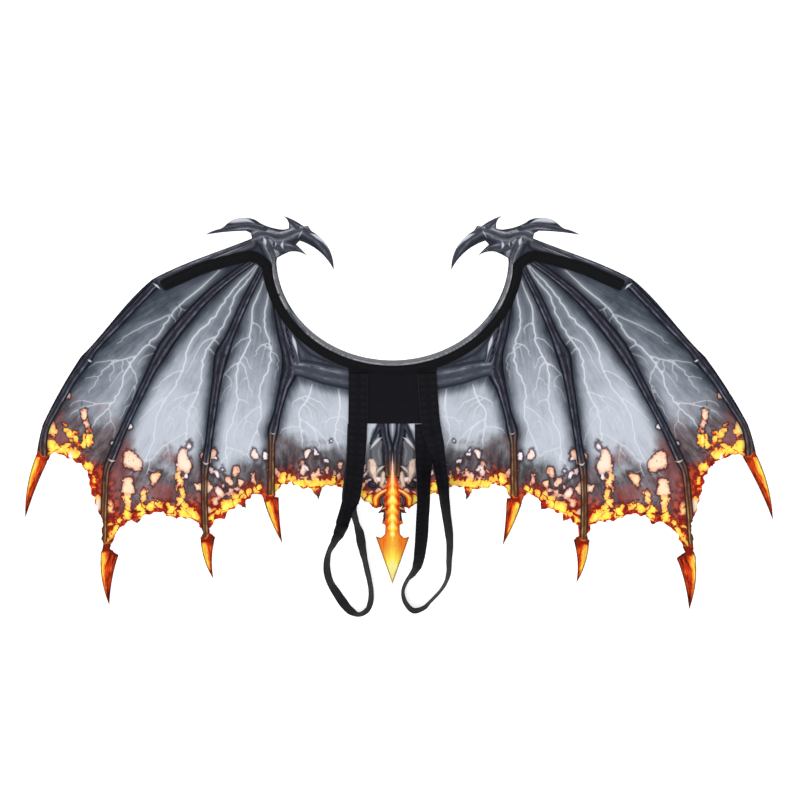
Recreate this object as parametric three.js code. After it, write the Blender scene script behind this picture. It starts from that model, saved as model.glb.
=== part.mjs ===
// Costume wings laid out on a flat surface, the side that goes to the wearer's
// back facing up. One cut felt panel carries both wings and the tail. A sewn
// tape casing runs over the shoulders and round the neck, and a back patch
// holds two elastic arm loops. Millimetres, +Z up, +Y towards the neck.
import * as THREE from "three";

// Panel
const HALF_SPAN = 550; // middle line to the outer claw
const WING_HEIGHT = 579; // lowest claw to the crest
const PANEL_THICKNESS = 1.6;
const GAP = 0.3; // between pieces that rest on each other
const TEAR = 2.6; // depth of the torn hem
const TEAR_STEP = 7;
const EDGE_STEP = 8; // between the points of a curved edge
const NECK_STEP = 9;

// Neck, half an ellipse open at the top
const NECK_HALF_WIDTH = 171;
const NECK_DEPTH = 151;
const NECK_CENTRE_UP = 0.8906; // share of WING_HEIGHT
const NECK_END_UP = 0.893;
const NECK_MARGIN = 8; // cloth left between the neck edge and the casing

// Casing and its wire
const CASING_WIDTH = 13;
const CASING_END_WIDTH = 17.5;
const CASING_HEIGHT = 4.2;
const CASING_STEP = 8;

// Back patch
const PATCH_WIDTH = 129.5;
const PATCH_BOTTOM_UP = 0.469; // share of WING_HEIGHT
const PATCH_THICKNESS = 1.5;

// Arm loops
const STRAP_WIDTH = 28;
const STRAP_THICKNESS = 1.2;

// The right wing lies a little wider and more spread than the left one
const LAY_SPREAD = 0.055;
const LAY_TURN = 0.0125;

// Tables. out and up are shares of HALF_SPAN and WING_HEIGHT, from the middle
// line and the lowest claw. bow is how far the edge to the next corner bulges,
// as a share of its own length.
const HEAD = [
  { corner: "throat", out: 0.309, up: 0.89, bow: -0.03 },
  { corner: "chin", out: 0.274, up: 0.906, bow: -0.1 },
  { corner: "chin_spike", out: 0.229, up: 0.896, bow: 0.02 },
  { corner: "chin_root", out: 0.258, up: 0.924, bow: -0.04 },
  { corner: "hook_root", out: 0.248, up: 0.934, bow: -0.1 },
  { corner: "hook_tip", out: 0.157, up: 0.86, bow: 0.14 },
  { corner: "hook_back", out: 0.218, up: 0.96, bow: 0 },
  { corner: "hook_knuckle", out: 0.226, up: 0.972, bow: 0 },
  { corner: "crest_root", out: 0.237, up: 0.97, bow: 0.04 },
  { corner: "crest_tip", out: 0.292, up: 0.997, bow: -0.17 },
  { corner: "crest_back", out: 0.277, up: 0.965, bow: -0.08 },
  { corner: "saddle", out: 0.309, up: 0.964, bow: -0.06 },
  { corner: "horn_rise", out: 0.368, up: 0.987, bow: 0.1 },
  { corner: "horn_top", out: 0.43, up: 0.986, bow: 0 },
  { corner: "horn_blade", out: 0.459, up: 0.965, bow: 0.04 },
  { corner: "horn_tip", out: 0.502, up: 0.949, bow: -0.02 },
  { corner: "horn_under", out: 0.392, up: 0.959, bow: -0.24 },
  { corner: "horn_notch", out: 0.376, up: 0.94, bow: 0 },
  { corner: "arm_end", out: 0.631, up: 0.842, bow: 0 },
  { corner: "elbow", out: 0.649, up: 0.831, bow: 0 },
  { corner: "wrist_step", out: 0.816, up: 0.657, bow: 0 },
  { corner: "wrist", out: 0.835, up: 0.639, bow: 0.02 },
  { corner: "knuckle", out: 0.943, up: 0.468, bow: 0.02 },
  { corner: "claw_root", out: 0.962, up: 0.396, bow: 0 },
];

// Each claw: its root and barb on the outer side, its tip, and the barb and
// root on the inner side, with the bow of its two long edges.
const CLAWS = [
  {
    name: "first", root: [0.962, 0.396], barb: [0.962, 0.394], tip: [1.0, 0.226],
    innerBarb: [0.928, 0.383], innerRoot: [0.926, 0.389], bow: 0.054, innerBow: -0.023,
  },
  {
    name: "second", root: [0.79, 0.149], barb: [0.796, 0.136], tip: [0.776, 0.002],
    innerBarb: [0.747, 0.132], innerRoot: [0.77, 0.146], bow: 0.06, innerBow: -0.036,
  },
  {
    name: "third", root: [0.516, 0.179], barb: [0.52, 0.175], tip: [0.485, 0.068],
    innerBarb: [0.479, 0.177], innerRoot: [0.494, 0.188], bow: 0.065, innerBow: -0.061,
  },
  {
    name: "fourth", root: [0.351, 0.285], barb: [0.348, 0.278], tip: [0.295, 0.162],
    innerBarb: [0.305, 0.28], innerRoot: [0.316, 0.282], bow: 0.028, innerBow: -0.015,
  },
];

// The burnt hem between the claws, from the outer claw inwards
const HEMS = [
  [
    [0.911, 0.392], [0.878, 0.382], [0.849, 0.368], [0.825, 0.337],
    [0.818, 0.306], [0.808, 0.265], [0.787, 0.216], [0.792, 0.182],
  ],
  [
    [0.75, 0.19], [0.719, 0.216], [0.683, 0.23], [0.636, 0.243],
    [0.598, 0.23], [0.554, 0.224], [0.529, 0.218], [0.516, 0.19],
  ],
  [[0.488, 0.211], [0.46, 0.235], [0.422, 0.255], [0.4, 0.27], [0.372, 0.289]],
  [
    [0.301, 0.307], [0.28, 0.322], [0.258, 0.309], [0.226, 0.304],
    [0.194, 0.307], [0.162, 0.31], [0.13, 0.305], [0.098, 0.287], [0.071, 0.272],
  ],
];

// Burnt drips that hang from a hem: how far along it, and how long in mm
const DRIPS = [[], [{ along: 0.36, drop: 8 }], [{ along: 0.36, drop: 8 }, { along: 0.64, drop: 10 }],
  [{ along: 0.17, drop: 5 }, { along: 0.44, drop: 18 }, { along: 0.7, drop: 6 }]];

const TAIL = [
  { corner: "lobe", out: 0.043, up: 0.253, bow: 0.1 },
  { corner: "rib_root", out: 0.027, up: 0.261, bow: 0 },
  { corner: "rib_tip", out: 0.039, up: 0.24, bow: 0 },
  { corner: "rib_in", out: 0.023, up: 0.243, bow: 0 },
  { corner: "spur_out", out: 0.025, up: 0.23, bow: 0 },
  { corner: "spur_tip", out: 0.028, up: 0.215, bow: 0 },
  { corner: "tail_neck", out: 0.019, up: 0.211, bow: 0 },
  { corner: "barb_root", out: 0.02, up: 0.188, bow: -0.3 },
  { corner: "barb_tip", out: 0.045, up: 0.182, bow: 0 },
  { corner: "tail_tip", out: 0, up: 0.061, bow: 0 },
];

// Middle of the casing over the arm, from the elbow to the shoulder
const ARM_CASING = [
  { out: 0.617, up: 0.819 },
  { out: 0.564, up: 0.841 },
  { out: 0.509, up: 0.864 },
  { out: 0.443, up: 0.882 },
  { out: 0.4, up: 0.892 },
  { out: 0.371, up: 0.894 },
  { out: 0.349, up: 0.881 },
];

// Arm loops, from the top of the patch down, round and up under the first run.
// tilt is how far the strap leans on its edge, in degrees from flat. lift is
// the height of its lower edge, as a share of STRAP_WIDTH.
const LEFT_STRAP = [
  { out: -0.091, up: 0.600, tilt: 0, lift: 0.132 },
  { out: -0.092, up: 0.539, tilt: 0, lift: 0.132 },
  { out: -0.093, up: 0.468, tilt: 0, lift: 0.14 },
  { out: -0.096, up: 0.402, tilt: 8, lift: 0.19 },
  { out: -0.104, up: 0.326, tilt: 27, lift: 0.4 },
  { out: -0.114, up: 0.275, tilt: 40, lift: 0.72 },
  { out: -0.126, up: 0.242, tilt: 49, lift: 0.76 },
  { out: -0.133, up: 0.214, tilt: 50, lift: 0.44 },
  { out: -0.143, up: 0.188, tilt: 58, lift: 0.17 },
  { out: -0.157, up: 0.165, tilt: 70, lift: 0.03 },
  { out: -0.170, up: 0.142, tilt: 75, lift: 0 },
  { out: -0.175, up: 0.117, tilt: 71, lift: 0 },
  { out: -0.174, up: 0.092, tilt: 69, lift: 0 },
  { out: -0.165, up: 0.064, tilt: 70, lift: 0 },
  { out: -0.150, up: 0.041, tilt: 66, lift: 0 },
  { out: -0.133, up: 0.017, tilt: 64, lift: 0 },
  { out: -0.114, up: -0.004, tilt: 68, lift: 0 },
  { out: -0.090, up: -0.015, tilt: 80, lift: 0 },
  { out: -0.067, up: -0.003, tilt: 76, lift: 0 },
  { out: -0.058, up: 0.020, tilt: 73, lift: 0 },
  { out: -0.057, up: 0.043, tilt: 74, lift: 0 },
  { out: -0.061, up: 0.069, tilt: 74, lift: 0 },
  { out: -0.067, up: 0.094, tilt: 72, lift: 0 },
  { out: -0.073, up: 0.120, tilt: 72, lift: 0 },
  { out: -0.079, up: 0.145, tilt: 66, lift: 0 },
  { out: -0.084, up: 0.170, tilt: 60, lift: 0 },
  { out: -0.088, up: 0.193, tilt: 62, lift: 0 },
  { out: -0.096, up: 0.216, tilt: 71, lift: 0 },
  { out: -0.103, up: 0.239, tilt: 68, lift: 0.04 },
  { out: -0.110, up: 0.260, tilt: 34, lift: 0.068 },
  { out: -0.111, up: 0.280, tilt: 14, lift: 0.068 },
  { out: -0.107, up: 0.310, tilt: 0, lift: 0.068 },
  { out: -0.099, up: 0.377, tilt: 0, lift: 0.068 },
  { out: -0.095, up: 0.466, tilt: 0, lift: 0.068 },
];
const RIGHT_STRAP = [
  { out: 0.092, up: 0.6, tilt: 0, lift: 0.132 },
  { out: 0.097, up: 0.529, tilt: 0, lift: 0.132 },
  { out: 0.103, up: 0.468, tilt: 4, lift: 0.15 },
  { out: 0.112, up: 0.427, tilt: 20, lift: 0.24 },
  { out: 0.124, up: 0.377, tilt: 43, lift: 0.22 },
  { out: 0.133, up: 0.326, tilt: 49, lift: 0.15 },
  { out: 0.139, up: 0.275, tilt: 58, lift: 0.09 },
  { out: 0.144, up: 0.237, tilt: 62, lift: 0.03 },
  { out: 0.15, up: 0.198, tilt: 64, lift: 0 },
  { out: 0.153, up: 0.16, tilt: 70, lift: 0 },
  { out: 0.151, up: 0.122, tilt: 74, lift: 0 },
  { out: 0.15, up: 0.092, tilt: 77, lift: 0 },
  { out: 0.142, up: 0.066, tilt: 82, lift: 0 },
  { out: 0.126, up: 0.043, tilt: 84, lift: 0 },
  { out: 0.103, up: 0.02, tilt: 84, lift: 0 },
  { out: 0.084, up: 0.002, tilt: 80, lift: 0 },
  { out: 0.056, up: -0.005, tilt: 76, lift: 0 },
  { out: 0.035, up: 0.015, tilt: 78, lift: 0 },
  { out: 0.028, up: 0.043, tilt: 80, lift: 0 },
  { out: 0.039, up: 0.071, tilt: 78, lift: 0 },
  { out: 0.057, up: 0.092, tilt: 68, lift: 0 },
  { out: 0.068, up: 0.115, tilt: 57, lift: 0 },
  { out: 0.074, up: 0.148, tilt: 51, lift: 0 },
  { out: 0.078, up: 0.186, tilt: 47, lift: 0.01 },
  { out: 0.08, up: 0.224, tilt: 47, lift: 0.05 },
  { out: 0.083, up: 0.275, tilt: 46, lift: 0.068 },
  { out: 0.083, up: 0.326, tilt: 42, lift: 0.068 },
  { out: 0.084, up: 0.377, tilt: 26, lift: 0.068 },
  { out: 0.085, up: 0.427, tilt: 5, lift: 0.068 },
  { out: 0.085, up: 0.466, tilt: 0, lift: 0.068 },
];

// Place in the plan, in mm, of a pair of shares on one side (-1 left, 1 right)
function lay(side, out, up) {
  const spread = LAY_SPREAD * Math.max(0, out - 0.2945) * Math.max(0, 0.682 - up);
  const turn = LAY_TURN * Math.max(0, 0.453 - up) * Math.min(1, out / 0.482);
  return new THREE.Vector2(
    side * (out + side * spread) * HALF_SPAN,
    (up - side * turn) * WING_HEIGHT,
  );
}

// Repeatable scatter between -1 and 1
function scatter(i) {
  const s = Math.sin(i * 12.9898 + 4.137) * 43758.5453;
  return 2 * (s - Math.floor(s)) - 1;
}

// Points from one corner to the next with the edge bowed sideways
function bowed(side, from, to, bow) {
  const a = lay(side, from[0], from[1]);
  const b = lay(side, to[0], to[1]);
  const chord = b.clone().sub(a);
  const count = bow ? Math.max(2, Math.round(chord.length() / EDGE_STEP)) : 1;
  const across = new THREE.Vector2(-chord.y, chord.x).multiplyScalar(side * -1);
  const points = [];
  for (let i = 0; i < count; i++) {
    const t = i / count;
    points.push(
      a.clone().addScaledVector(chord, t).addScaledVector(across, -bow * 4 * t * (1 - t)),
    );
  }
  return points;
}

// A hem torn into small teeth along a smooth line through its waypoints
function torn(side, waypoints, drips, seed) {
  const line = new THREE.SplineCurve(waypoints.map(([out, up]) => lay(side, out, up)));
  const count = Math.round(line.getLength() / TEAR_STEP);
  const points = [];
  for (let i = 1; i < count; i++) {
    const at = line.getPointAt(i / count);
    const along = line.getTangentAt(i / count);
    const drip = drips.find((row) => Math.round(row.along * count) === i);
    const tooth = TEAR * (0.5 * (i % 2 ? 1 : -1) + 0.5 * scatter(seed + i));
    points.push(at.addScaledVector(new THREE.Vector2(-along.y, along.x), drip ? side * drip.drop : tooth));
  }
  return points;
}

// Neck edge, or a line at some distance outside it, from the middle outwards
function neckLine(side, offset, step) {
  const centre = NECK_CENTRE_UP * WING_HEIGHT;
  const top = Math.asin((NECK_CENTRE_UP - NECK_END_UP) * WING_HEIGHT / NECK_DEPTH);
  const count = Math.round((Math.PI / 2 - top) * NECK_HALF_WIDTH / step);
  const points = [];
  for (let i = 0; i <= count; i++) {
    const a = Math.PI / 2 - (Math.PI / 2 - top) * (i / count);
    const normal = new THREE.Vector2(NECK_DEPTH * Math.cos(a), NECK_HALF_WIDTH * Math.sin(a))
      .normalize().multiplyScalar(offset);
    points.push(new THREE.Vector2(
      side * (NECK_HALF_WIDTH * Math.cos(a) + normal.x),
      centre - NECK_DEPTH * Math.sin(a) - normal.y,
    ));
  }
  return points;
}

// One half of the panel's outline, from the middle of the neck to the tail tip
function halfOutline(side) {
  const points = neckLine(side, 0, NECK_STEP).slice(0, -1);
  HEAD.forEach((row, i) => {
    const next = HEAD[i + 1];
    if (next) points.push(...bowed(side, [row.out, row.up], [next.out, next.up], row.bow));
  });
  CLAWS.forEach((claw, i) => {
    points.push(...bowed(side, claw.root, claw.barb, 0));
    points.push(...bowed(side, claw.barb, claw.tip, claw.bow));
    points.push(...bowed(side, claw.tip, claw.innerBarb, claw.innerBow));
    points.push(...bowed(side, claw.innerBarb, claw.innerRoot, 0));
    const end = CLAWS[i + 1] ? CLAWS[i + 1].root : [TAIL[0].out, TAIL[0].up];
    points.push(lay(side, ...claw.innerRoot));
    points.push(...torn(side, [claw.innerRoot, ...HEMS[i], end], DRIPS[i], 40 * i + (side > 0 ? 400 : 0)));
  });
  TAIL.forEach((row, i) => {
    const next = TAIL[i + 1];
    if (next) points.push(...bowed(side, [row.out, row.up], [next.out, next.up], row.bow));
  });
  return points;
}

// A closed plate of even thickness from an outline
function plate(points, bottom, thickness) {
  const clean = points.filter((p, i) => p.distanceTo(points[(i + 1) % points.length]) > 0.05);
  const geometry = new THREE.ExtrudeGeometry(new THREE.Shape(clean), {
    depth: thickness,
    bevelEnabled: false,
    steps: 1,
  });
  geometry.translate(0, 0, bottom);
  return geometry;
}

// A closed band through a list of cross-sections with equal point counts
function loft(sections) {
  const per = sections[0].length;
  const positions = sections.flat().flatMap((p) => [p.x, p.y, p.z]);
  const index = [];
  for (let i = 0; i + 1 < sections.length; i++) {
    for (let j = 0; j < per; j++) {
      const a = i * per + j;
      const b = i * per + ((j + 1) % per);
      index.push(a, b, b + per, a, b + per, a + per);
    }
  }
  const last = (sections.length - 1) * per;
  for (let j = 1; j + 1 < per; j++) {
    index.push(0, j + 1, j, last, last + j, last + j + 1);
  }
  const geometry = new THREE.BufferGeometry();
  geometry.setAttribute("position", new THREE.Float32BufferAttribute(positions, 3));
  geometry.setIndex(index);
  geometry.computeVertexNormals();
  return geometry;
}

// Sewn casing: flat under, domed over the wire
function casing() {
  const offset = NECK_MARGIN + CASING_WIDTH / 2;
  const half = (side) => [
    ...ARM_CASING.map((row) => lay(side, row.out, row.up)),
    ...neckLine(side, offset, 1.5 * NECK_STEP).slice(0, -1).reverse(),
  ];
  const line = new THREE.CatmullRomCurve3(
    [...half(-1), ...half(1).reverse().slice(1)].map((p) => new THREE.Vector3(p.x, p.y, 0)),
    false,
    "centripetal",
  );
  const length = line.getLength();
  const count = Math.round(length / CASING_STEP);
  line.arcLengthDivisions = 2000;
  line.updateArcLengths();
  const base = PANEL_THICKNESS + GAP;
  const profile = [
    [-0.5, 0], [0.5, 0], [0.5, 0.28], [0.34, 0.75], [0.12, 1], [-0.12, 1], [-0.34, 0.75], [-0.5, 0.28],
  ];
  const sections = [];
  for (let i = 0; i <= count; i++) {
    const at = line.getPointAt(i / count);
    const along = line.getTangentAt(i / count);
    const end = Math.min(i, count - i) / count * length;
    const width = THREE.MathUtils.lerp(CASING_END_WIDTH, CASING_WIDTH, THREE.MathUtils.smoothstep(end, 60, 240));
    sections.push(profile.map(([across, height]) => new THREE.Vector3(
      at.x - along.y * across * width,
      at.y + along.x * across * width,
      base + height * CASING_HEIGHT,
    )));
  }
  return loft(sections);
}

// Height in the plan of the casing's lower edge over a place on the patch
function underCasing(x) {
  const edge = neckLine(Math.sign(x), NECK_MARGIN + CASING_WIDTH + GAP, NECK_STEP / 4);
  return edge.reduce((a, b) => (Math.abs(b.x - x) < Math.abs(a.x - x) ? b : a)).y;
}

function patch() {
  const bottom = PATCH_BOTTOM_UP * WING_HEIGHT;
  const half = PATCH_WIDTH / 2;
  const edge = (side) => neckLine(side, NECK_MARGIN + CASING_WIDTH + GAP, NECK_STEP)
    .filter((p) => Math.abs(p.x) < half - 2);
  const top = edge(1)[edge(1).length - 1].y + 1.2;
  const points = [
    new THREE.Vector2(-half, bottom), new THREE.Vector2(half, bottom),
    new THREE.Vector2(half, top),
    ...edge(1).reverse(), ...edge(-1).slice(1),
    new THREE.Vector2(-half, top),
  ];
  return plate(points, PANEL_THICKNESS + GAP, PATCH_THICKNESS);
}

// Elastic ribbon through its stations, from the casing's lower edge. turn is 1 where the loop's outside is on
// the right of the way along it, and -1 where it is on the left.
function strap(table, turn) {
  const side = Math.sign(table[0].out);
  const inner = table[0].out * HALF_SPAN - side * STRAP_WIDTH / 2;
  const top = (underCasing(inner) - GAP) / WING_HEIGHT;
  const rows = [{ ...table[0], up: top }, ...table.slice(1)];
  const track = new THREE.CatmullRomCurve3(rows.map((row) => new THREE.Vector3(
    row.out * HALF_SPAN, row.up * WING_HEIGHT, 0,
  )), false, "centripetal");
  const perRow = 4;
  const sections = [];
  const state = (k) => {
    const i = Math.min(Math.floor(k), rows.length - 2);
    const t = k - i;
    const ease = t * t * (3 - 2 * t);
    const tilt = THREE.MathUtils.lerp(rows[i].tilt, rows[i + 1].tilt, ease) * Math.PI / 180;
    const lift = THREE.MathUtils.lerp(rows[i].lift, rows[i + 1].lift, ease) * STRAP_WIDTH;
    const at = track.getPoint(k / (rows.length - 1));
    at.z = lift + STRAP_THICKNESS / 2 * Math.cos(tilt) + STRAP_WIDTH / 2 * Math.sin(tilt);
    return { at, tilt };
  };
  const count = (rows.length - 1) * perRow;
  for (let i = 0; i <= count; i++) {
    const k = i / perRow;
    const { at, tilt } = state(k);
    const along = state(Math.min(k + 0.12, rows.length - 1)).at
      .sub(state(Math.max(k - 0.12, 0)).at).normalize();
    const outward = new THREE.Vector3(along.y, -along.x, 0).normalize().multiplyScalar(turn);
    const across = outward.multiplyScalar(Math.cos(tilt))
      .add(new THREE.Vector3(0, 0, Math.sin(tilt)));
    across.addScaledVector(along, -across.dot(along)).normalize();
    const thick = along.clone().cross(across).normalize();
    const corner = (u, v) => at.clone()
      .addScaledVector(across, u * STRAP_WIDTH / 2)
      .addScaledVector(thick, v * STRAP_THICKNESS / 2);
    sections.push([corner(-1, -1), corner(-1, 1), corner(1, 1), corner(1, -1)]);
  }
  return loft(sections.map((section) => section.slice().reverse()));
}

const FELT = new THREE.MeshStandardMaterial({ color: 0x9398a2, roughness: 0.95, metalness: 0 });
const TAPE = new THREE.MeshStandardMaterial({ color: 0x17171a, roughness: 0.85, metalness: 0 });
const CLOTH = new THREE.MeshStandardMaterial({ color: 0x1b1b1e, roughness: 0.9, metalness: 0 });
const ELASTIC = new THREE.MeshStandardMaterial({ color: 0x1f1f24, roughness: 0.7, metalness: 0 });

const wings = new THREE.Group();
wings.name = "costume_wings";

function add(name, geometry, material) {
  const mesh = new THREE.Mesh(geometry, material);
  mesh.name = name;
  wings.add(mesh);
}

add(
  "wing_panel",
  plate([...halfOutline(1), lay(1, 0, 0.061), ...halfOutline(-1).slice(1).reverse()], 0, PANEL_THICKNESS),
  FELT,
);
add("wire_casing", casing(), TAPE);
add("back_patch", patch(), CLOTH);
add("left_strap", strap(LEFT_STRAP, 1), ELASTIC);
add("right_strap", strap(RIGHT_STRAP, -1), ELASTIC);

// The middle of the base goes to the origin
const box = new THREE.Box3().setFromObject(wings);
wings.position.set(-(box.min.x + box.max.x) / 2, -(box.min.y + box.max.y) / 2, -box.min.z);

export default wings;
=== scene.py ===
"""Costume wings laid out on a pale table, the side that goes to the wearer's back up."""
from types import SimpleNamespace
import bpy
import numpy as np
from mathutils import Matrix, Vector, geometry


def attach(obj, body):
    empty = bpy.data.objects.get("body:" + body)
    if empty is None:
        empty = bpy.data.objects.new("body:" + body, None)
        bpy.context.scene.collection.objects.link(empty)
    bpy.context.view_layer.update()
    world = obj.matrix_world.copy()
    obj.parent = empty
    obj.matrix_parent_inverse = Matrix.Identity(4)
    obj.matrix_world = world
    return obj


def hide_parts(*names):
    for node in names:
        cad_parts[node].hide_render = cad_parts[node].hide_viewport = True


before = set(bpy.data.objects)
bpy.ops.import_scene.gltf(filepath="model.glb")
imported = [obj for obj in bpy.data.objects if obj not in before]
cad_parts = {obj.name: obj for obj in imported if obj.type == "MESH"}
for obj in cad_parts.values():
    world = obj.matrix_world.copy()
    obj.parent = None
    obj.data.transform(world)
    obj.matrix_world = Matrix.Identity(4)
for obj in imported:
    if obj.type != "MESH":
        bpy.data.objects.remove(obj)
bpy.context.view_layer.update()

# ---- sizes in millimetres, as in the CAD source -------------------------------------
MIDDLE = (-9.647, -282.78)  # middle line and lowest claw, in the row frame
HALF_SPAN, WING_HEIGHT = 550, 579
THICK, GAP = 1.6, 0.3
NECK_HALF_WIDTH, NECK_DEPTH, NECK_CENTRE_UP, NECK_END_UP, NECK_MARGIN = 171, 151, 0.8906, 0.893, 8
CASING_WIDTH, CASING_END_WIDTH, CASING_HEIGHT = 13, 17.5, 4.2
PATCH_WIDTH, PATCH_BOTTOM_UP, PATCH_THICKNESS = 129.5, 0.469, 1.5
PATCH_BOTTOM, PATCH_HALF = PATCH_BOTTOM_UP * WING_HEIGHT + MIDDLE[1], PATCH_WIDTH / 2
STRAP_WIDTH, STRAP_THICKNESS = 28, 1.2
LAY_SPREAD, LAY_TURN = 0.055, 0.0125
LAY_OUT, LAY_UP, TURN_UP, TURN_OUT = 0.2945, 0.682, 0.453, 0.482  # where the spread and the turn set in
STITCH, THREAD_WIDTH = 3.2, 0.5  # stitch length, and thread drawn thicker than its real 0.3 mm so that it shows
SEAM_AT, HEM_SEAM, TOP_SEAM = 0.36, 6, 7  # seams: share of the casing, and mm in from the patch's edges
SEAM_RISE = 0.15  # how far the middle of a stitch stands over the cloth
GRAIN, FINE_GRAIN = 3.3, 1.7  # spacing of the panel's mesh, and at the heads and the tail
FINE_AREAS = [(84, 290, 486, 579), (0, 42, 85, 272)]  # out from and to, up from and to
EDGE_STEP, BLUNT = 2.2, 24  # steps of the panel's edge, and the turn in degrees below which a corner is rounded
HEM_ROUGHNESS = (0.55, 0.5)  # fine and coarse wear of the torn hem
LINE_STEP, ARC_STEP, VEIN_STEP = 2.5, 1.2, 2.2  # spacing of the samples on printed lines
WAVE = 1.7  # half the height of the cloth's waves
PX = 1.4726  # one pixel of the photograph
PX_MIDDLE, PX_BASE = 392.5, 608  # pixel column of the middle line, pixel row of the lowest claw
M = 0.001  # metres in a millimetre

# Middle of the casing over the arm, from the elbow to the shoulder (out, up)
ARM_CASING = [(0.617, 0.819), (0.564, 0.841), (0.509, 0.864), (0.443, 0.882), (0.4, 0.892), (0.371, 0.894),
    (0.349, 0.881)]

# The torn hem between the claws, from the outer claw inwards (out, up)
HEMS = [
    [(0.926, 0.389), (0.911, 0.392), (0.878, 0.382), (0.849, 0.368), (0.825, 0.337), (0.818, 0.306), (0.808, 0.265),
        (0.787, 0.216), (0.792, 0.182), (0.79, 0.149)],
    [(0.77, 0.146), (0.75, 0.19), (0.719, 0.216), (0.683, 0.23), (0.636, 0.243), (0.598, 0.23), (0.554, 0.224),
        (0.529, 0.218), (0.516, 0.19)],
    [(0.494, 0.188), (0.488, 0.211), (0.46, 0.235), (0.422, 0.255), (0.4, 0.27), (0.372, 0.289), (0.351, 0.285)],
    [(0.316, 0.282), (0.301, 0.307), (0.28, 0.322), (0.258, 0.309), (0.226, 0.304), (0.194, 0.307), (0.162, 0.31),
        (0.13, 0.305), (0.098, 0.287), (0.071, 0.272), (0.043, 0.253)],
]

# Arm loops (out, up, tilt in degrees, lift as a share of STRAP_WIDTH)
LEFT_STRAP = [
    (-0.091, 0.600, 0, 0.132), (-0.092, 0.539, 0, 0.132), (-0.093, 0.468, 0, 0.14), (-0.096, 0.402, 8, 0.19),
    (-0.104, 0.326, 27, 0.4), (-0.114, 0.275, 40, 0.72), (-0.126, 0.242, 49, 0.76), (-0.133, 0.214, 50, 0.44),
    (-0.143, 0.188, 58, 0.17), (-0.157, 0.165, 70, 0.03), (-0.170, 0.142, 75, 0), (-0.175, 0.117, 71, 0),
    (-0.174, 0.092, 69, 0), (-0.165, 0.064, 70, 0), (-0.150, 0.041, 66, 0), (-0.133, 0.017, 64, 0),
    (-0.114, -0.004, 68, 0), (-0.090, -0.015, 80, 0), (-0.067, -0.003, 76, 0), (-0.058, 0.020, 73, 0),
    (-0.057, 0.043, 74, 0), (-0.061, 0.069, 74, 0), (-0.067, 0.094, 72, 0), (-0.073, 0.120, 72, 0),
    (-0.079, 0.145, 66, 0), (-0.084, 0.170, 60, 0), (-0.088, 0.193, 62, 0), (-0.096, 0.216, 71, 0),
    (-0.103, 0.239, 68, 0.04), (-0.110, 0.260, 34, 0.068), (-0.111, 0.280, 14, 0.068), (-0.107, 0.310, 0, 0.068),
    (-0.099, 0.377, 0, 0.068), (-0.095, 0.466, 0, 0.068),
]
RIGHT_STRAP = [
    (0.092, 0.6, 0, 0.132), (0.097, 0.529, 0, 0.132), (0.103, 0.468, 4, 0.15), (0.112, 0.427, 20, 0.24),
    (0.124, 0.377, 43, 0.22), (0.133, 0.326, 49, 0.15), (0.139, 0.275, 58, 0.09), (0.144, 0.237, 62, 0.03),
    (0.15, 0.198, 64, 0), (0.153, 0.16, 70, 0), (0.151, 0.122, 74, 0), (0.15, 0.092, 77, 0),
    (0.142, 0.066, 82, 0), (0.126, 0.043, 84, 0), (0.103, 0.02, 84, 0), (0.084, 0.002, 80, 0),
    (0.056, -0.005, 76, 0), (0.035, 0.015, 78, 0), (0.028, 0.043, 80, 0), (0.039, 0.071, 78, 0),
    (0.057, 0.092, 68, 0), (0.068, 0.115, 57, 0), (0.074, 0.148, 51, 0), (0.078, 0.186, 47, 0.01),
    (0.08, 0.224, 47, 0.05), (0.083, 0.275, 46, 0.068), (0.083, 0.326, 42, 0.068), (0.084, 0.377, 26, 0.068),
    (0.085, 0.427, 5, 0.068), (0.085, 0.466, 0, 0.068),
]

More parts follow.
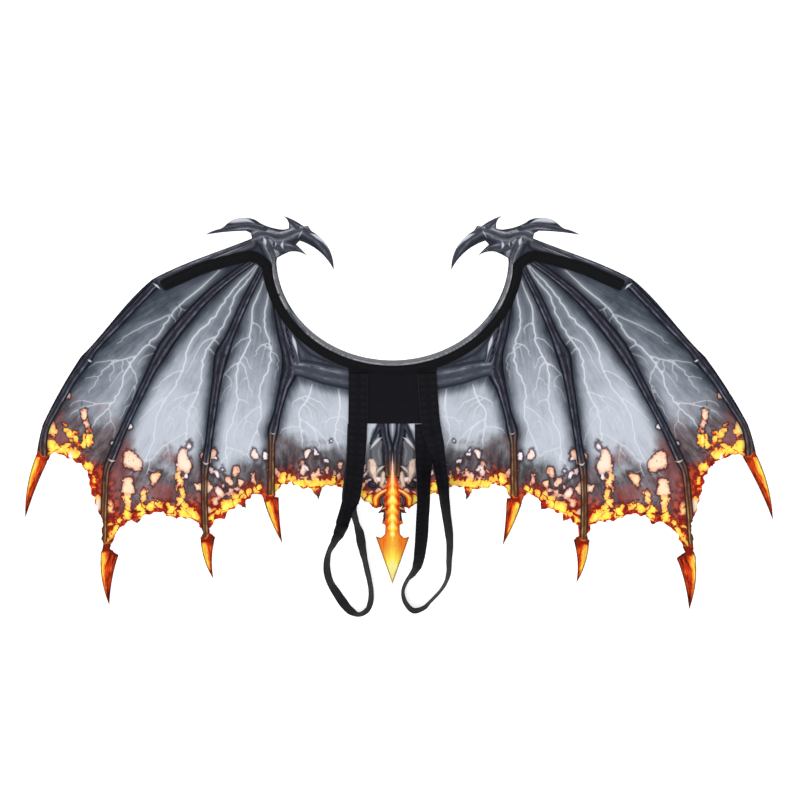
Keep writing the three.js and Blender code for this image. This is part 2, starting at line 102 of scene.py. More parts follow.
# Printed bones and claws of the left wing: pixel x, pixel y, half width in pixels, burnt share
BONES = {
    "outer_finger": ("bone", [(156, 283, 4.2, 0), (120, 321, 4.6, 0), (92, 351, 4.6, 0), (88, 357, 5.4, 0),
        (72, 380, 4.6, 0), (60, 401, 4.2, 0), (46, 427, 4.2, .1), (43, 440, 4.6, .15), (43, 456, 4.6, .35)]),
    "second_finger": ("bone", [(252, 262, 3.2, 0), (228, 279, 4, 0), (200, 304, 5, 0), (169, 341, 6.4, 0),
        (162, 352, 6.4, 0), (153, 368, 4.8, 0), (142, 391, 4.2, 0), (124.5, 428, 3.8, 0), (112, 457, 4.6, .1),
        (107, 470, 3.6, .4), (104.5, 505, 3.6, .7), (103.5, 540, 3.8, .8)]),
    "third_finger": ("bone", [(262, 268, 3, 0), (245, 302, 4, 0), (229, 339, 4.6, 0), (222, 355, 7, 0),
        (218, 375, 5.2, 0), (211.5, 420, 4, 0), (207.5, 452, 3.9, 0), (205.5, 463, 4.6, .15), (204.5, 478, 3.4, .5),
        (205, 520, 3.6, .7), (206, 536, 3.6, .8)]),
    "fourth_finger": ("bone", [(276, 296, 4.5, 0), (282, 330, 5.5, 0), (288, 355, 6, 0), (290, 369, 8, 0),
        (284, 388, 5.2, 0), (277, 415, 4, 0), (273, 431, 5.5, .05), (272, 442, 3.6, .4), (271.5, 470, 3.6, .65),
        (271, 494, 4, .8)]),
    "hip": ("slate", [(291, 367, 7, 0), (305, 369, 8.5, 0), (325, 374, 10, 0), (350, 379, 10.5, 0)]),
    "strut": ("slate", [(288, 322, 2.2, 0), (294, 345, 2.2, 0), (298, 362, 2.4, 0)]),
    "outer_claw": ("claw", [(42, 458, 6.2, .35), (40, 465, 6.2, .9), (35, 478, 6, .85), (28, 500, 4.5, .6),
        (24, 519, 1.5, .3)]),
    "second_claw": ("claw", [(109.5, 553, 9.5, .3), (108.3, 560, 10, .85), (107, 568, 9, .8), (107, 588, 6, .55),
        (108.7, 604, 1.5, .3)]),
    "third_claw": ("claw", [(208.3, 542, 7, .3), (208.8, 547, 6.8, .9), (209.5, 552, 6.5, .85),
        (211.5, 566, 4.5, .55), (213.3, 579, 1.5, .25)]),
    "fourth_claw": ("claw", [(272, 500, 6, .3), (273.3, 505, 6.2, .9), (275, 512, 6, .85), (278.5, 528, 4, .6),
        (282, 543, 1.5, .3)]),
    "skull": ("head", [(244, 242, 7, 0), (262, 234, 8, 0), (280, 237, 8.5, 0), (298, 231, 8, 0), (307, 230, 6, 0)]),
    "horn": ("arm", [(264, 229, 7, 0), (248, 226, 5.4, 0), (232, 228, 4.6, 0), (214, 232.5, 3, 0),
        (205, 235.5, 1.6, 0)]),
    "hook": ("arm", [(305, 231, 7, 0), (317, 239, 7, 0), (327, 251, 5.5, 0), (332, 263, 3.4, 0),
        (334.5, 271, 1.4, 0)]),
    "crest": ("arm", [(297, 228, 5.5, 0), (289, 221, 4, 0), (283.5, 215.5, 1.4, 0)]),
    "chin": ("arm", [(276, 246, 8, 0), (292, 249, 5.5, 0), (300, 252, 3.4, 0), (307, 256, 1.4, 0)]),
    "throat": ("head", [(266, 240, 9, 0), (273, 254, 9, 0), (278, 272, 7, 0)]),
    "upper_arm": ("arm", [(158, 280, 5, 0), (180, 271, 6, 0), (205, 261, 6.6, 0), (230, 251, 7, 0),
        (250, 243, 7.4, 0)]),
    "shoulder": ("slate", [(279, 272, 5, 0), (285, 296, 5, 0), (296, 322, 7, 0), (312, 345, 9, 0), (335, 356, 8, 0),
        (350, 362, 6, 0)]),
    "tail_column": ("bone", [(383.5, 421, 4.6, 0), (384.5, 434, 5, 0), (387, 446, 5.6, 0), (388, 460, 4.8, .15),
        (388.5, 474, 4.4, .6)]),
    "tail_wing_bone": ("bone", [(380, 424, 1.9, 0), (375.5, 434, 1.8, 0), (371, 444, 1.2, 0)]),
    "tail_disc": ("disc", [(380, 442, 2.5, 0), (376.5, 448, 5.5, 0), (376.5, 456, 6, 0), (379, 463, 3, 0)]),
    "tail_patch_1": ("cream", [(373, 462, 3.4, 0), (373, 468, 3.6, 0), (374.5, 476, 1.8, 0), (375.5, 481, .8, 0)]),
    "tail_patch_2": ("cream", [(383.5, 473, 1.4, .1), (383, 479, 2.1, .2), (381.5, 485.5, 1.2, .3)]),
    "tail_ball": ("bone", [(370.5, 484, 3.2, 0), (373, 485, 3.2, .1)]),
    "tail_hook": ("tail", [(386, 490, 1.5, .75), (380, 493.5, 2, .8), (375.5, 498, 3, .85), (375.5, 504, 2.6, .8)]),
    "tail_scale_1": ("bone", [(384, 495, 2, .3), (381.5, 500, 3, .35), (383.5, 505, 2.2, .5)]),
    "tail_scale_2": ("bone", [(384, 511, 2.4, .3), (385, 519, 2.2, .4)]),
    "tail_shaft": ("tail", [(392.5, 462, .7, .2), (392.5, 471, 1.8, .5), (392.5, 480, 4.6, .75),
        (392.5, 489, 6.6, .9), (392.5, 512, 7.4, 1), (392.5, 540, 9, 1)]),
    "arrow": ("arrow", [(392.5, 538, 18, 1), (392.5, 560, 12, 1), (392.5, 585, 3, 1)]),
}

# Light arcs painted where the bones catch the light: pixel x, pixel y, half width, strength
GLINTS = {
    "wrist": [(87, 359, .6, .4), (90, 361, .9, 1), (93, 362, .5, .4)],
    "elbow": [(151, 282, .5, .4), (157, 286, .9, 1), (162, 291, .5, .4)],
    "second_knuckle": [(159, 346, .4, .1), (164, 349, .7, .55), (170, 350, .7, .45), (174, 347, .4, .1)],
    "second_joint": [(107, 458, .5, .5), (112, 461, .8, 1), (117, 460, .5, .5)],
    "third_knuckle": [(217, 358, .4, .1), (221, 361, .7, .5), (226, 359, .4, .1)],
    "third_joint": [(202, 461, .5, .5), (206, 464, .8, 1), (210, 462, .5, .5)],
    "fourth_knuckle": [(282, 367, .4, .1), (289, 371, .7, .5), (296, 368, .5, .4), (300, 361, .4, .2)],
    "fourth_joint": [(269, 431, .5, .4), (273, 434, .8, .8), (278, 432, .5, .4)],
    "shoulder_light": [(291, 331, .6, .3), (294, 341, 1.3, 1), (297, 352, .9, .8), (298, 361, .6, .3)],
    "horn_top": [(222, 225, .8, .4), (231, 221.5, 1.9, .9), (242, 219.5, 2.4, 1), (251, 221.5, 1.5, .8),
        (260, 227, .6, .3)],
    "hook_top": [(308, 233, .8, .5), (316, 236, 1.5, 1), (324, 242, 1.2, 1), (329, 250, .9, .7), (332, 259, .5, .3)],
    "brow": [(303, 228, .6, .5), (301, 233, .8, .8), (298, 238, .7, .6), (294, 241, .4, .1)],
    "cheek": [(284, 240, .7, .5), (282, 245, 1.2, 1), (284, 250, .7, .5)],
    "jaw": [(274, 239, .6, .4), (276, 244, 1.1, .8), (274, 249, .6, .4)],
    "neck_light": [(263, 236, .8, .5), (265, 241, 1.4, 1), (266, 247, .8, .5)],
    "arm_light": [(170, 276, .5, .2), (200, 264, .7, .6), (235, 250, .7, .7), (258, 241, .5, .4)],
    "tail_arc_1": [(384, 436.5, .5, .4), (378.5, 439.5, 1.1, 1), (373, 445.5, .9, 1), (369, 451.5, .4, .5)],
    "tail_arc_2": [(386.5, 465, .4, .4), (381, 468, 1, 1), (375, 475, .5, .6)],
    "tail_arc_3": [(387, 489.5, .4, .5), (381, 492.5, .8, .9), (377, 496, .5, .5)],
    "tail_arc_4": [(388, 507, .4, .5), (383, 508.5, .8, .9), (379.5, 510.5, .4, .6)],
    "tail_core": [(392.5, 448, .2, .4), (392.5, 458, .5, .8), (392.5, 472, .9, 1), (392.5, 482, 1.3, .9),
        (392.5, 500, 1.4, .5), (392.5, 514, .6, .2)],
    "top_light": [(392.5, 421, 3.6, .55), (392.5, 429, 2.3, .55), (392.5, 436, .9, .6), (392.5, 442, .3, .4)],
}

# The bays between the bones, each as its outer and inner side in pixels from the top down
BAYS = {
    "outer": ([(168, 284), (128, 326), (98, 358), (76, 388), (60, 416), (52, 440), (52, 452)], [(246, 260),
        (196, 312), (166, 352), (142, 396), (122, 436), (104, 464), (96, 500)]),
    "wide": ([(255, 262), (204, 310), (176, 350), (154, 390), (133, 432), (118, 470), (112, 530)], [(260, 262),
        (243, 298), (224, 342), (212, 390), (206, 440), (200, 490), (200, 520)]),
    "middle": ([(262, 274), (246, 310), (228, 355), (217, 420), (212, 465), (211, 520)], [(270, 284), (277, 325),
        (284, 365), (274, 405), (266, 445), (265, 490)]),
    "inner": ([(297, 380), (288, 402), (281, 430), (278, 455), (279, 485)], [(349, 390), (352, 420), (356, 450),
        (366, 475), (374, 505)]),
}

# Rows of glowing islands: height over the hem, spacing, half width and half height in mm, warmth, and share kept
ISLAND_ROWS = [
    (7, 18, (7, 14), (8, 14), (0.8, 1.0), 1.0),
    (25, 19, (5, 10), (8, 16), (0.46, 0.92), 0.9),
    (44, 30, (5, 12), (9, 20), (0.28, 0.62), 0.8),
    (64, 32, (5, 12), (9, 19), (0.18, 0.36), 0.75),
    (84, 34, (3, 6), (4, 8), (0.0, 0.14), 0.7),
]

def linear(code):
    """An sRGB hex colour as linear red, green and blue: ((c + 0.055) / 1.055) ** 2.4, and c / 12.92 when dark."""
    c = np.array([int(code[i:i + 2], 16) for i in (1, 3, 5)]) / 255
    return np.where(c > 0.04045, ((c + 0.055) / 1.055) ** 2.4, c / 12.92)


def smooth(x, low, high):
    """0 below low, 1 above high, and t * t * (3 - 2 t) between them."""
    t = np.clip((np.asarray(x, float) - low) / (high - low), 0, 1)
    return t * t * (3 - 2 * t)


def scatter(x):
    """A repeatable value between -1 and 1 for each x: the fraction of a large sine."""
    s = np.sin(np.asarray(x, float) * 12.9898 + 4.137) * 43758.5453
    return 2 * (s - np.floor(s)) - 1


def unit(v):
    """The rows of v, each divided by its length."""
    return v / np.linalg.norm(v, axis=1)[:, None]


# ---- lay of the two wings -----------------------------------------------------------
def lie(side, out, up):
    """How far out and how far down the lay moves a point of the pattern: the right wing (side 1) lies wider and
    turned, the left one closer."""
    return (side * LAY_SPREAD * np.maximum(0, out - LAY_OUT) * np.maximum(0, LAY_UP - up),
            side * LAY_TURN * np.maximum(0, TURN_UP - up) * np.minimum(1, out / TURN_OUT))


def lay(side, out, up):
    """Shares of the pattern to row-frame mm, moved by lie()."""
    spread, turn = lie(side, out, up)
    return np.stack([side * (out + spread) * HALF_SPAN + MIDDLE[0], (up - turn) * WING_HEIGHT + MIDDLE[1]], -1)


def unlay(xy):
    """Row-frame mm back to the cut pattern's mm, out from the middle and up from the lowest claw: lay() undone by
    repeated correction."""
    side = np.sign(xy[..., 0] - MIDDLE[0])
    far, high = np.abs(xy[..., 0] - MIDDLE[0]) / HALF_SPAN, (xy[..., 1] - MIDDLE[1]) / WING_HEIGHT
    out, up = far, high
    for _ in range(5):
        spread, turn = lie(side, out, up)
        out, up = far - spread, high + turn
    return np.stack([out * HALF_SPAN, up * WING_HEIGHT], -1)


def from_photo(rows):
    """Left-wing pixels (x, y, ...) to the cut pattern's mm. A half width in the third column turns to mm too."""
    rows = np.array(rows, float)
    xy = np.stack([(rows[:, 0] - PX_MIDDLE) * PX + MIDDLE[0] - 0.001, (PX_BASE - rows[:, 1]) * PX + MIDDLE[1]], -1)
    return np.concatenate([unlay(xy), rows[:, 2:3] * PX, rows[:, 3:]], 1)


# ---- curves ---------------------------------------------------------------------------
def through(rows, per, plan=2):
    """A centripetal Catmull-Rom curve through the rows, per points for each stretch. The knots are spaced by the
    square root of the distance in the first plan columns, and the other columns go along."""
    p = np.asarray(rows, float)
    p = np.concatenate([[2 * p[0] - p[1]], p, [2 * p[-1] - p[-2]]])
    k = np.arange((len(p) - 3) * per + 1) / per
    i = np.minimum(k.astype(int), len(p) - 4)
    t = (k - i)[:, None]
    d = np.maximum(np.linalg.norm(np.diff(p[:, :plan], axis=0), axis=1), 1e-6)[:, None] ** 0.5
    a, b, c, e = p[i], p[i + 1], p[i + 2], p[i + 3]
    d0, d1, d2 = d[i], d[i + 1], d[i + 2]
    m1 = ((b - a) / d0 - (c - a) / (d0 + d1) + (c - b) / d1) * d1
    m2 = ((c - b) / d1 - (e - b) / (d1 + d2) + (e - c) / d2) * d1
    return b + m1 * t + (3 * (c - b) - 2 * m1 - m2) * t ** 2 + (2 * (b - c) + m1 + m2) * t ** 3


def even(rows, step, plan=2):
    """The same polyline with its points step apart, by linear interpolation along its length."""
    s = np.concatenate([[0], np.cumsum(np.linalg.norm(np.diff(rows[:, :plan], axis=0), axis=1))])
    at = np.linspace(0, s[-1], max(2, int(round(s[-1] / step)) + 1))
    return np.stack([np.interp(at, s, rows[:, j]) for j in range(rows.shape[1])], 1), at


def neck_line(side, offset, count):
    """The neck edge, or a line outside it, from the middle outwards: an ellipse's points moved along its normals."""
    top = np.arcsin((NECK_CENTRE_UP - NECK_END_UP) * WING_HEIGHT / NECK_DEPTH)
    a = np.linspace(np.pi / 2, top, count)
    normal = unit(np.stack([NECK_DEPTH * np.cos(a), NECK_HALF_WIDTH * np.sin(a)], -1)) * offset
    return np.stack([side * (NECK_HALF_WIDTH * np.cos(a) + normal[:, 0]) + MIDDLE[0],
                     NECK_CENTRE_UP * WING_HEIGHT - NECK_DEPTH * np.sin(a) - normal[:, 1] + MIDDLE[1]], -1)


def casing_line():
    """The casing's middle line from the left elbow round the neck to the right elbow, 1.5 mm apart, with its length
    so far, the normals and the width: narrower round the neck, and drawn in a little at the two ends."""
    arm = np.array(ARM_CASING)
    half = [np.concatenate([lay(s, arm[:, 0], arm[:, 1]),
                            neck_line(s, NECK_MARGIN + CASING_WIDTH / 2, 21)[:-1][::-1]]) for s in (-1, 1)]
    line, run = even(through(np.concatenate([half[0], half[1][::-1][1:]]), 12), 1.5)
    tangent = unit(np.gradient(line, axis=0))
    end = np.minimum(run, run[-1] - run)
    width = CASING_END_WIDTH + (CASING_WIDTH - CASING_END_WIDTH) * smooth(end, 60, 240)
    return line, run, np.stack([-tangent[:, 1], tangent[:, 0]], -1), end, width * (0.9 + 0.1 * smooth(end, 0, 5))


# ---- meshes ---------------------------------------------------------------------------
def make(name, points, faces, material, **fields):
    """A mesh object at the origin from mm points and faces in an array or list. The fields are its attributes by
    name, a number, a vector or a colour of four channels for each point."""
    mesh = bpy.data.meshes.new(name)
    mesh.from_pydata((np.asarray(points) * M).tolist(), [], faces if isinstance(faces, list) else faces.tolist())
    kinds = {1: ("FLOAT", "value"), 3: ("FLOAT_VECTOR", "vector"), 4: ("FLOAT_COLOR", "color")}
    for label, values in fields.items():
        kind, key = kinds[values.size // len(values)]
        mesh.attributes.new(label, kind, "POINT").data.foreach_set(key, values.astype(np.float32).ravel())
    mesh.shade_smooth()
    mesh.materials.append(material)
    obj = bpy.data.objects.new(name, mesh)
    bpy.context.scene.collection.objects.link(obj)
    return obj


def grid_faces(rows, cols, closed):
    """Quads between neighbours of a rows by cols grid, with the last column joined to the first where it is closed."""
    i, j = np.meshgrid(np.arange(rows - 1), np.arange(cols if closed else cols - 1), indexing="ij")
    a, b = i * cols + j, i * cols + (j + 1) % cols
    return np.stack([a, b, b + cols, a + cols], -1).reshape(-1, 4)


def sweep(name, at, across, up, profile, material, run, width=1.0, height=1.0):
    """A closed band with capped ends: at + across * u * width + up * v * height for each profile point (u, v) and
    each station. The weave attribute is the place across and along the band."""
    n, m = len(at), len(profile)
    w, h = np.broadcast_to(width, n)[:, None], np.broadcast_to(height, (n, m))
    u = profile[:, 0] * w
    points = at[:, None] + across[:, None] * u[..., None] + up[:, None] * (profile[:, 1] * h)[..., None]
    faces = grid_faces(n, m, True).tolist() + [list(range(m))[::-1], list(range((n - 1) * m, n * m))]
    weave = np.stack(np.broadcast_arrays(u, run[:, None], 0.0), -1).reshape(-1, 3) * M
    return make(name, points.reshape(-1, 3), faces, material, weave=weave)


# ---- node helper ----------------------------------------------------------------------
EASE = {"interpolation_type": "SMOOTHSTEP"}  # of a Map Range node
TIMES, PLUS, TIMES_PLUS = ({"operation": kind} for kind in ("MULTIPLY", "ADD", "MULTIPLY_ADD"))


def add(tree, kind, inputs=(), out=0, ramp=(), **settings):
    """Adds a shader node: settings are its properties, ramp a colour ramp's stops, and inputs its values or links, in
    a dict by socket or in a tuple from the first socket on. Gives back the socket out."""
    n = tree.nodes.new("ShaderNode" + kind)
    for key, value in settings.items():
        setattr(n, key, value)
    if ramp:
        while len(n.color_ramp.elements) < len(ramp):
            n.color_ramp.elements.new(0.5)
        for element, (place, code) in zip(n.color_ramp.elements, ramp):
            element.position, element.color = place, (*linear(code), 1)
    for key, value in (inputs.items() if isinstance(inputs, dict) else enumerate(inputs)):
        if isinstance(value, bpy.types.NodeSocket):
            tree.links.new(value, n.inputs[key])
        else:
            n.inputs[key].default_value = (*linear(value), 1) if isinstance(value, str) else value
    return n.outputs[out]


def new_material(name):
    material = bpy.data.materials.new(name)
    material.use_nodes = True
    material.node_tree.nodes.clear()
    return material, material.node_tree


def finish_material(t, colour, height, bump, **values):
    """Principled surface with a bump: height is the pattern from 0 to 1, and bump how deep it is in metres."""
    inputs = {key.replace("_", " "): value for key, value in values.items()}
    normal = add(t, "Bump", {"Height": height, "Distance": bump, "Strength": 1.0}, "Normal")
    bsdf = add(t, "BsdfPrincipled", {"Base Color": colour, "Normal": normal, **inputs}, "BSDF")
    t.links.new(bsdf, t.nodes.new("ShaderNodeOutputMaterial").inputs["Surface"])


# ---- materials ------------------------------------------------------------------------
def printed_felt():
    """Needle-punched polyester felt, printed through: matt, with short fibres lying all ways and the dye a little
    uneven. The print is painted in layers from below, each with the mask and the strength that it is laid on with."""
    material, t = new_material("needlepunched_felt_printed")
    my = SimpleNamespace(**{name: add(t, "Attribute", out=out, attribute_name=name) for out, names in (
        ("Fac", "tone hem burn glow vein warmth ember red across off fiery lane rim glint"),
        ("Vector", "plan fan strokes"), ("Color", "ink_dark ink_light glint_ink")) for name in names.split()})
    # noise: brush streaks 3 mm wide that fan out from the shoulder, clouds 40 mm wide, patches of flush, the islands'
    # lobes 9 mm wide and their finer tint, specks, and the strokes and dabs along the bones
    fanned = add(t, "Mapping", {"Vector": my.fan, "Scale": (300, 30, 1)})
    stroked = add(t, "Mapping", {"Vector": my.strokes, "Scale": (420, 55, 1)})
    noise = SimpleNamespace(**{name: add(
        t, "TexNoise", {"Vector": at, "Scale": scale, "Detail": detail, "Roughness": rough, "Distortion": bend},
        "Fac", noise_dimensions="2D") for name, at, scale, detail, rough, bend in (
        ("streak", fanned, 1, 4, 0.62, 0), ("cloud", my.plan, 26, 4, 0.6, 0), ("flush", my.plan, 19, 2, 0.5, 0),
        ("lobes", my.plan, 95, 2.5, 0.55, 0.4), ("small", my.plan, 130, 2, 0.5, 0.3),
        ("speck", my.plan, 210, 1.5, 0.5, 0.3), ("brush", stroked, 1, 4, 0.65, 0), ("dab", my.strokes, 50, 3, 0.6, 0))})

    # membrane, and the charred band above the hem: grey smoke in the inner bays, brown in the outer ones
    uneven = add(t, "Math", (noise.streak, noise.cloud), **PLUS)
    toned = add(t, "Math", (add(t, "Math", (uneven, -1.0), **PLUS), 0.36, my.tone), **TIMES_PLUS)
    membrane = add(t, "ValToRGB", (toned,), ramp=[
        (0, "#272d37"), (0.25, "#565e69"), (0.5, "#888e99"), (0.75, "#aeb4bf"), (1, "#cad0db")])
    char = add(t, "MapRange", (add(t, "Math", (noise.cloud, -70.0, my.burn), **TIMES_PLUS), 42, 6), **EASE)
    shade = add(t, "MapRange", (uneven, 0.65, 1.35))
    smoke, brown = (add(t, "ValToRGB", (shade,), ramp=list(zip((0, 0.35, 0.7, 1), codes))) for codes in (
        ("#28272b", "#403f44", "#626166", "#828187"), ("#342b2d", "#54484c", "#73676c", "#8b8287")))
    outer = add(t, "MapRange", (add(t, "SeparateXYZ", (my.plan,)), 0.21, 0.29))
    char_tone = add(t, "Mix", {0: outer, 6: smoke, 7: brown}, 2, data_type="RGBA")
    flush = add(t, "Math", (add(t, "MapRange", (noise.flush, 0.48, 0.66), **EASE), char), **TIMES)
    flush = add(t, "Math", (flush, add(t, "Math", (outer, 0.36, 0.12), **TIMES_PLUS)), **TIMES)

    # lightning veins: a thin white core in a soft glow
    bright = add(t, "Math", (my.glow, 0.75, 0.3), use_clamp=True, **TIMES_PLUS)
    core = add(t, "Math", (add(t, "MapRange", (my.vein, 2.2, 0.3), **EASE), bright), **TIMES)
    core = add(t, "Math", (core, add(t, "MapRange", (my.tone, 0.1, 0.6, 0.55, 0.95))), **TIMES)

    # embers: islands with a depth in mm from their edge, which noise makes lobed. Dark cracks part the hottest ones
    # into blobs some 19 mm across
    ragged = add(t, "MapRange", (my.warmth, 0.05, 0.4, 6, 13))
    lobed = add(t, "Math", (add(t, "Math", (noise.lobes, -0.5), **PLUS), ragged, my.ember), **TIMES_PLUS)
    bent = add(t, "TexNoise", {"Vector": my.plan, "Scale": 60.0, "Detail": 2.0}, "Color", noise_dimensions="2D")
    bent = add(t, "VectorMath", (bent, (0.018, 0.018, 0), my.plan), **TIMES_PLUS)
    cells = add(t, "TexVoronoi", {"Vector": bent, "Scale": 53.0}, "Distance",
                voronoi_dimensions="2D", feature="DISTANCE_TO_EDGE")
    crack = add(t, "MapRange", (cells, 0.01, 0.1, -6, 0))
    heat = add(t, "Math", (crack, add(t, "MapRange", (my.warmth, 0.45, 0.8)), lobed), **TIMES_PLUS)
    near = add(t, "MapRange", (add(t, "Math", (noise.cloud, 30.0, my.hem), **TIMES_PLUS), 44, 18), **EASE)
    reddened = add(t, "Math", (near, my.red), operation="MAXIMUM")
    gap = add(t, "ValToRGB", (add(t, "Math", (my.red, 0.06, noise.small), **TIMES_PLUS),), ramp=[
        (0.34, "#341718"), (0.46, "#761c13"), (0.57, "#b92e10"), (0.7, "#e25c18")])
    scorch = add(t, "Math", (reddened, 0.7), **TIMES)
    scorched = add(t, "Mix", {0: scorch, 6: "#3b2c2f", 7: "#8a1f10"}, 2, data_type="RGBA")
    halo = add(t, "MapRange", (heat, -4, -0.6), **EASE)
    cooled = add(t, "Math", (my.red, -3.0, heat), **TIMES_PLUS)
    tinted = add(t, "Math", (add(t, "Math", (noise.small, -0.5), **PLUS), 9.0, cooled), **TIMES_PLUS)
    hot, pale, flame = (add(t, "ValToRGB", (add(t, "MapRange", (value, low, high)),), ramp=ramp)
                        for value, low, high, ramp in (
        (tinted, -1.5, 10, [(0, "#8a1a10"), (0.08, "#d2400e"), (0.16, "#ef8426"), (0.27, "#f8b450"),
                            (0.42, "#fccc54"), (0.62, "#fde150"), (1, "#fef26c")]),
        (heat, 0, 5, [(0, "#7b4a46"), (0.14, "#c98b7c"), (0.4, "#eab999"), (0.75, "#f2cfae"), (1, "#f6dcc0")]),
        (heat, 0, 3, [(0, "#77707a"), (0.35, "#e6dce4"), (1, "#fbf8fa")])))
    for low, high, colour in ((0.1, 0.22, pale), (0.35, 0.8, hot)):  # white, then pale, then hot by the warmth
        warmer = add(t, "MapRange", (my.warmth, low, high))
        flame = add(t, "Mix", {0: warmer, 6: flame, 7: colour}, 2, data_type="RGBA")
    island = add(t, "MapRange", (heat, -0.5, 0.3), **EASE)
    # small burnt holes in the islands, and a red edge along the hem
    hole = add(t, "Math", (add(t, "MapRange", (noise.speck, 0.75, 0.77), **EASE), island), **TIMES)
    edge = add(t, "MapRange", (add(t, "Math", (noise.speck, -6.0, my.hem), **TIMES_PLUS), -0.8, -2.6), **EASE)
    shadow = add(t, "MapRange", (my.off, 2.0, 0.95), **EASE)

    # printed bones, claws and heads: across runs from -1 to 1 over the bone. Claws and tail are painted as flame
    # instead, from dark red to pale yellow
    lane = add(t, "Math", (my.across, 0.5, 0.5), **TIMES_PLUS)
    sheen = add(t, "ValToRGB", (lane,), ramp=[
        (0, "#000000"), (0.14, "#2a2a2a"), (0.27, "#e8e8e8"), (0.4, "#3a3a3a"), (0.55, "#101010"),
        (0.7, "#9a9a9a"), (0.82, "#202020"), (0.9, "#000000")])
    stroke = add(t, "Math", (add(t, "MapRange", (noise.brush, 0.3, 0.7)),
                             add(t, "MapRange", (noise.dab, 0.32, 0.62, 0.55, 1.25))), **TIMES)
    streak = add(t, "Math", (add(t, "Math", (sheen, 0.06), **PLUS), stroke), use_clamp=True, **TIMES)
    contour = add(t, "MapRange", (my.off, 0.6, 0.95, 0, 0.75), **EASE)
    outline = add(t, "VectorMath", {0: my.ink_dark, "Scale": 0.3}, operation="SCALE")
    painted = add(t, "Math", (my.fiery, 4.0), use_clamp=True, **TIMES)
    warm = add(t, "Math", (add(t, "Math", (noise.brush, -0.5), **PLUS), my.fiery, my.lane), **TIMES_PLUS)
    fire = add(t, "ValToRGB", (warm,), ramp=[
        (0, "#36110c"), (0.16, "#84200f"), (0.32, "#c83c12"), (0.48, "#ec6c22"), (0.62, "#f6a034"),
        (0.78, "#fdca48"), (0.92, "#fff058"), (1, "#fff698")])
    rim = add(t, "MapRange", (my.rim, 3.0, 0.8), **EASE)
    inside = add(t, "MapRange", (my.off, 1.12, 0.98), **EASE)
    arc = add(t, "MapRange", (my.glint, 1.7, 0.3, 0, 0.85), **EASE)

    print_layers = [(char, 1, char_tone), (flush, 1, "#95443d"), (my.glow, 0.42, "#c9d1de"), (core, 1, "#e6eaf2"),
                    (reddened, 0.9, gap), (halo, 0.85, scorched), (island, 1, flame), (hole, 1, "#8c1c0e"),
                    (edge, 1, "#c4260d"), (shadow, 0.45, my.ink_dark)]
    ink_layers = [(streak, 1, my.ink_light), (contour, 1, outline), (painted, 1, fire), (rim, 0.75, my.ink_dark)]
    dyes = []
    for colour, layers in ((my.ink_dark, ink_layers), (membrane, print_layers)):
        if dyes:  # the bones come over the membrane, and the light arcs over both
            layers += [(inside, 1, dyes[0]), (arc, 1, my.glint_ink)]
        for mask, strength, over in layers:
            laid = add(t, "Math", (mask, float(strength)), **TIMES)
            colour = add(t, "Mix", {0: laid, 6: colour, 7: over}, 2, data_type="RGBA")
        dyes.append(colour)

    # felt fibres 0.25 mm wide, drawn coarse enough to show, and the dye's mottling between them
    place = add(t, "Mapping", {"Vector": add(t, "TexCoord", out="Object"), "Scale": (1700, 900, 1700)})
    fibre = add(t, "TexNoise", {"Vector": place, "Scale": 1.0, "Detail": 3.0, "Roughness": 0.7, "Distortion": 1.4})
    mottle = add(t, "MapRange", (fibre, 0.2, 0.8, 0.66, 0.84))
    vivid = add(t, "Math", (add(t, "Math", (painted, island), operation="MAXIMUM"), 0.13, mottle), **TIMES_PLUS)
    dyed = add(t, "VectorMath", {0: dyes[1], "Scale": vivid}, operation="SCALE")
    finish_material(t, dyed, fibre, 0.0002, Roughness=0.94, Specular_IOR_Level=0.06, Sheen_Weight=0.02,
                    Sheen_Roughness=0.5)
    return material


def woven(name, base, thread, warp_mm, weft_mm, gloss, depth, shine=0.08, edge_highlight=None):
    """Woven or braided tape: ridges of warp threads along it crossed by weft, sin * sin on the run of the cloth."""
    material, t = new_material(name)
    run = add(t, "Attribute", out="Vector", attribute_name="weave")
    ridges = [add(t, "TexWave", {"Vector": run, "Scale": 1000 / mm / 20, "Distortion": bend, "Detail": 1.0,
                                 "Detail Scale": 4.0}, "Fac", wave_type="BANDS", bands_direction=way)
              for mm, bend, way in ((warp_mm, 0.3, "X"), (weft_mm, 0.5, "Y"))]
    cloth = add(t, "Math", ridges, **TIMES)
    worn = add(t, "TexNoise", {"Vector": run, "Scale": 60.0, "Detail": 4.0, "Roughness": 0.6})
    lift = add(t, "Math", (cloth, 0.5, worn), **TIMES_PLUS)
    colour = add(t, "ValToRGB", (lift,), ramp=[(0.25, base), (0.95, thread)])
    if edge_highlight:  # a painted highlight along both edges, where the ribbon's edge catches the light, on the last 0.7 mm of the ribbon's half width
        off, half = add(t, "Math", (add(t, "SeparateXYZ", (run,)),), operation="ABSOLUTE"), STRAP_WIDTH / 2 * M
        edge = add(t, "MapRange", (off, half - 0.7 * M, half), **EASE)
        colour = add(t, "Mix", {0: edge, 6: colour, 7: edge_highlight}, 2, data_type="RGBA")
    rough = add(t, "MapRange", (worn, 0.3, 0.7, gloss - 0.06, gloss + 0.08))
    finish_material(t, colour, cloth, depth, Roughness=rough, Specular_IOR_Level=shine, Sheen_Weight=0.01,
                    Sheen_Roughness=0.25)
    return material


FELT = printed_felt()
# polyester twill tape folded over the wire: near black, dry, with fine cross ribs
TAPE = woven("polyester_twill_tape", "#050506", "#121215", 0.9, 0.7, 0.7, 0.00012)
# polyester poplin: plain weave, near black, a faint sheen on its folds
POPLIN = woven("polyester_poplin", "#06060a", "#111117", 0.6, 0.6, 0.72, 0.00008)
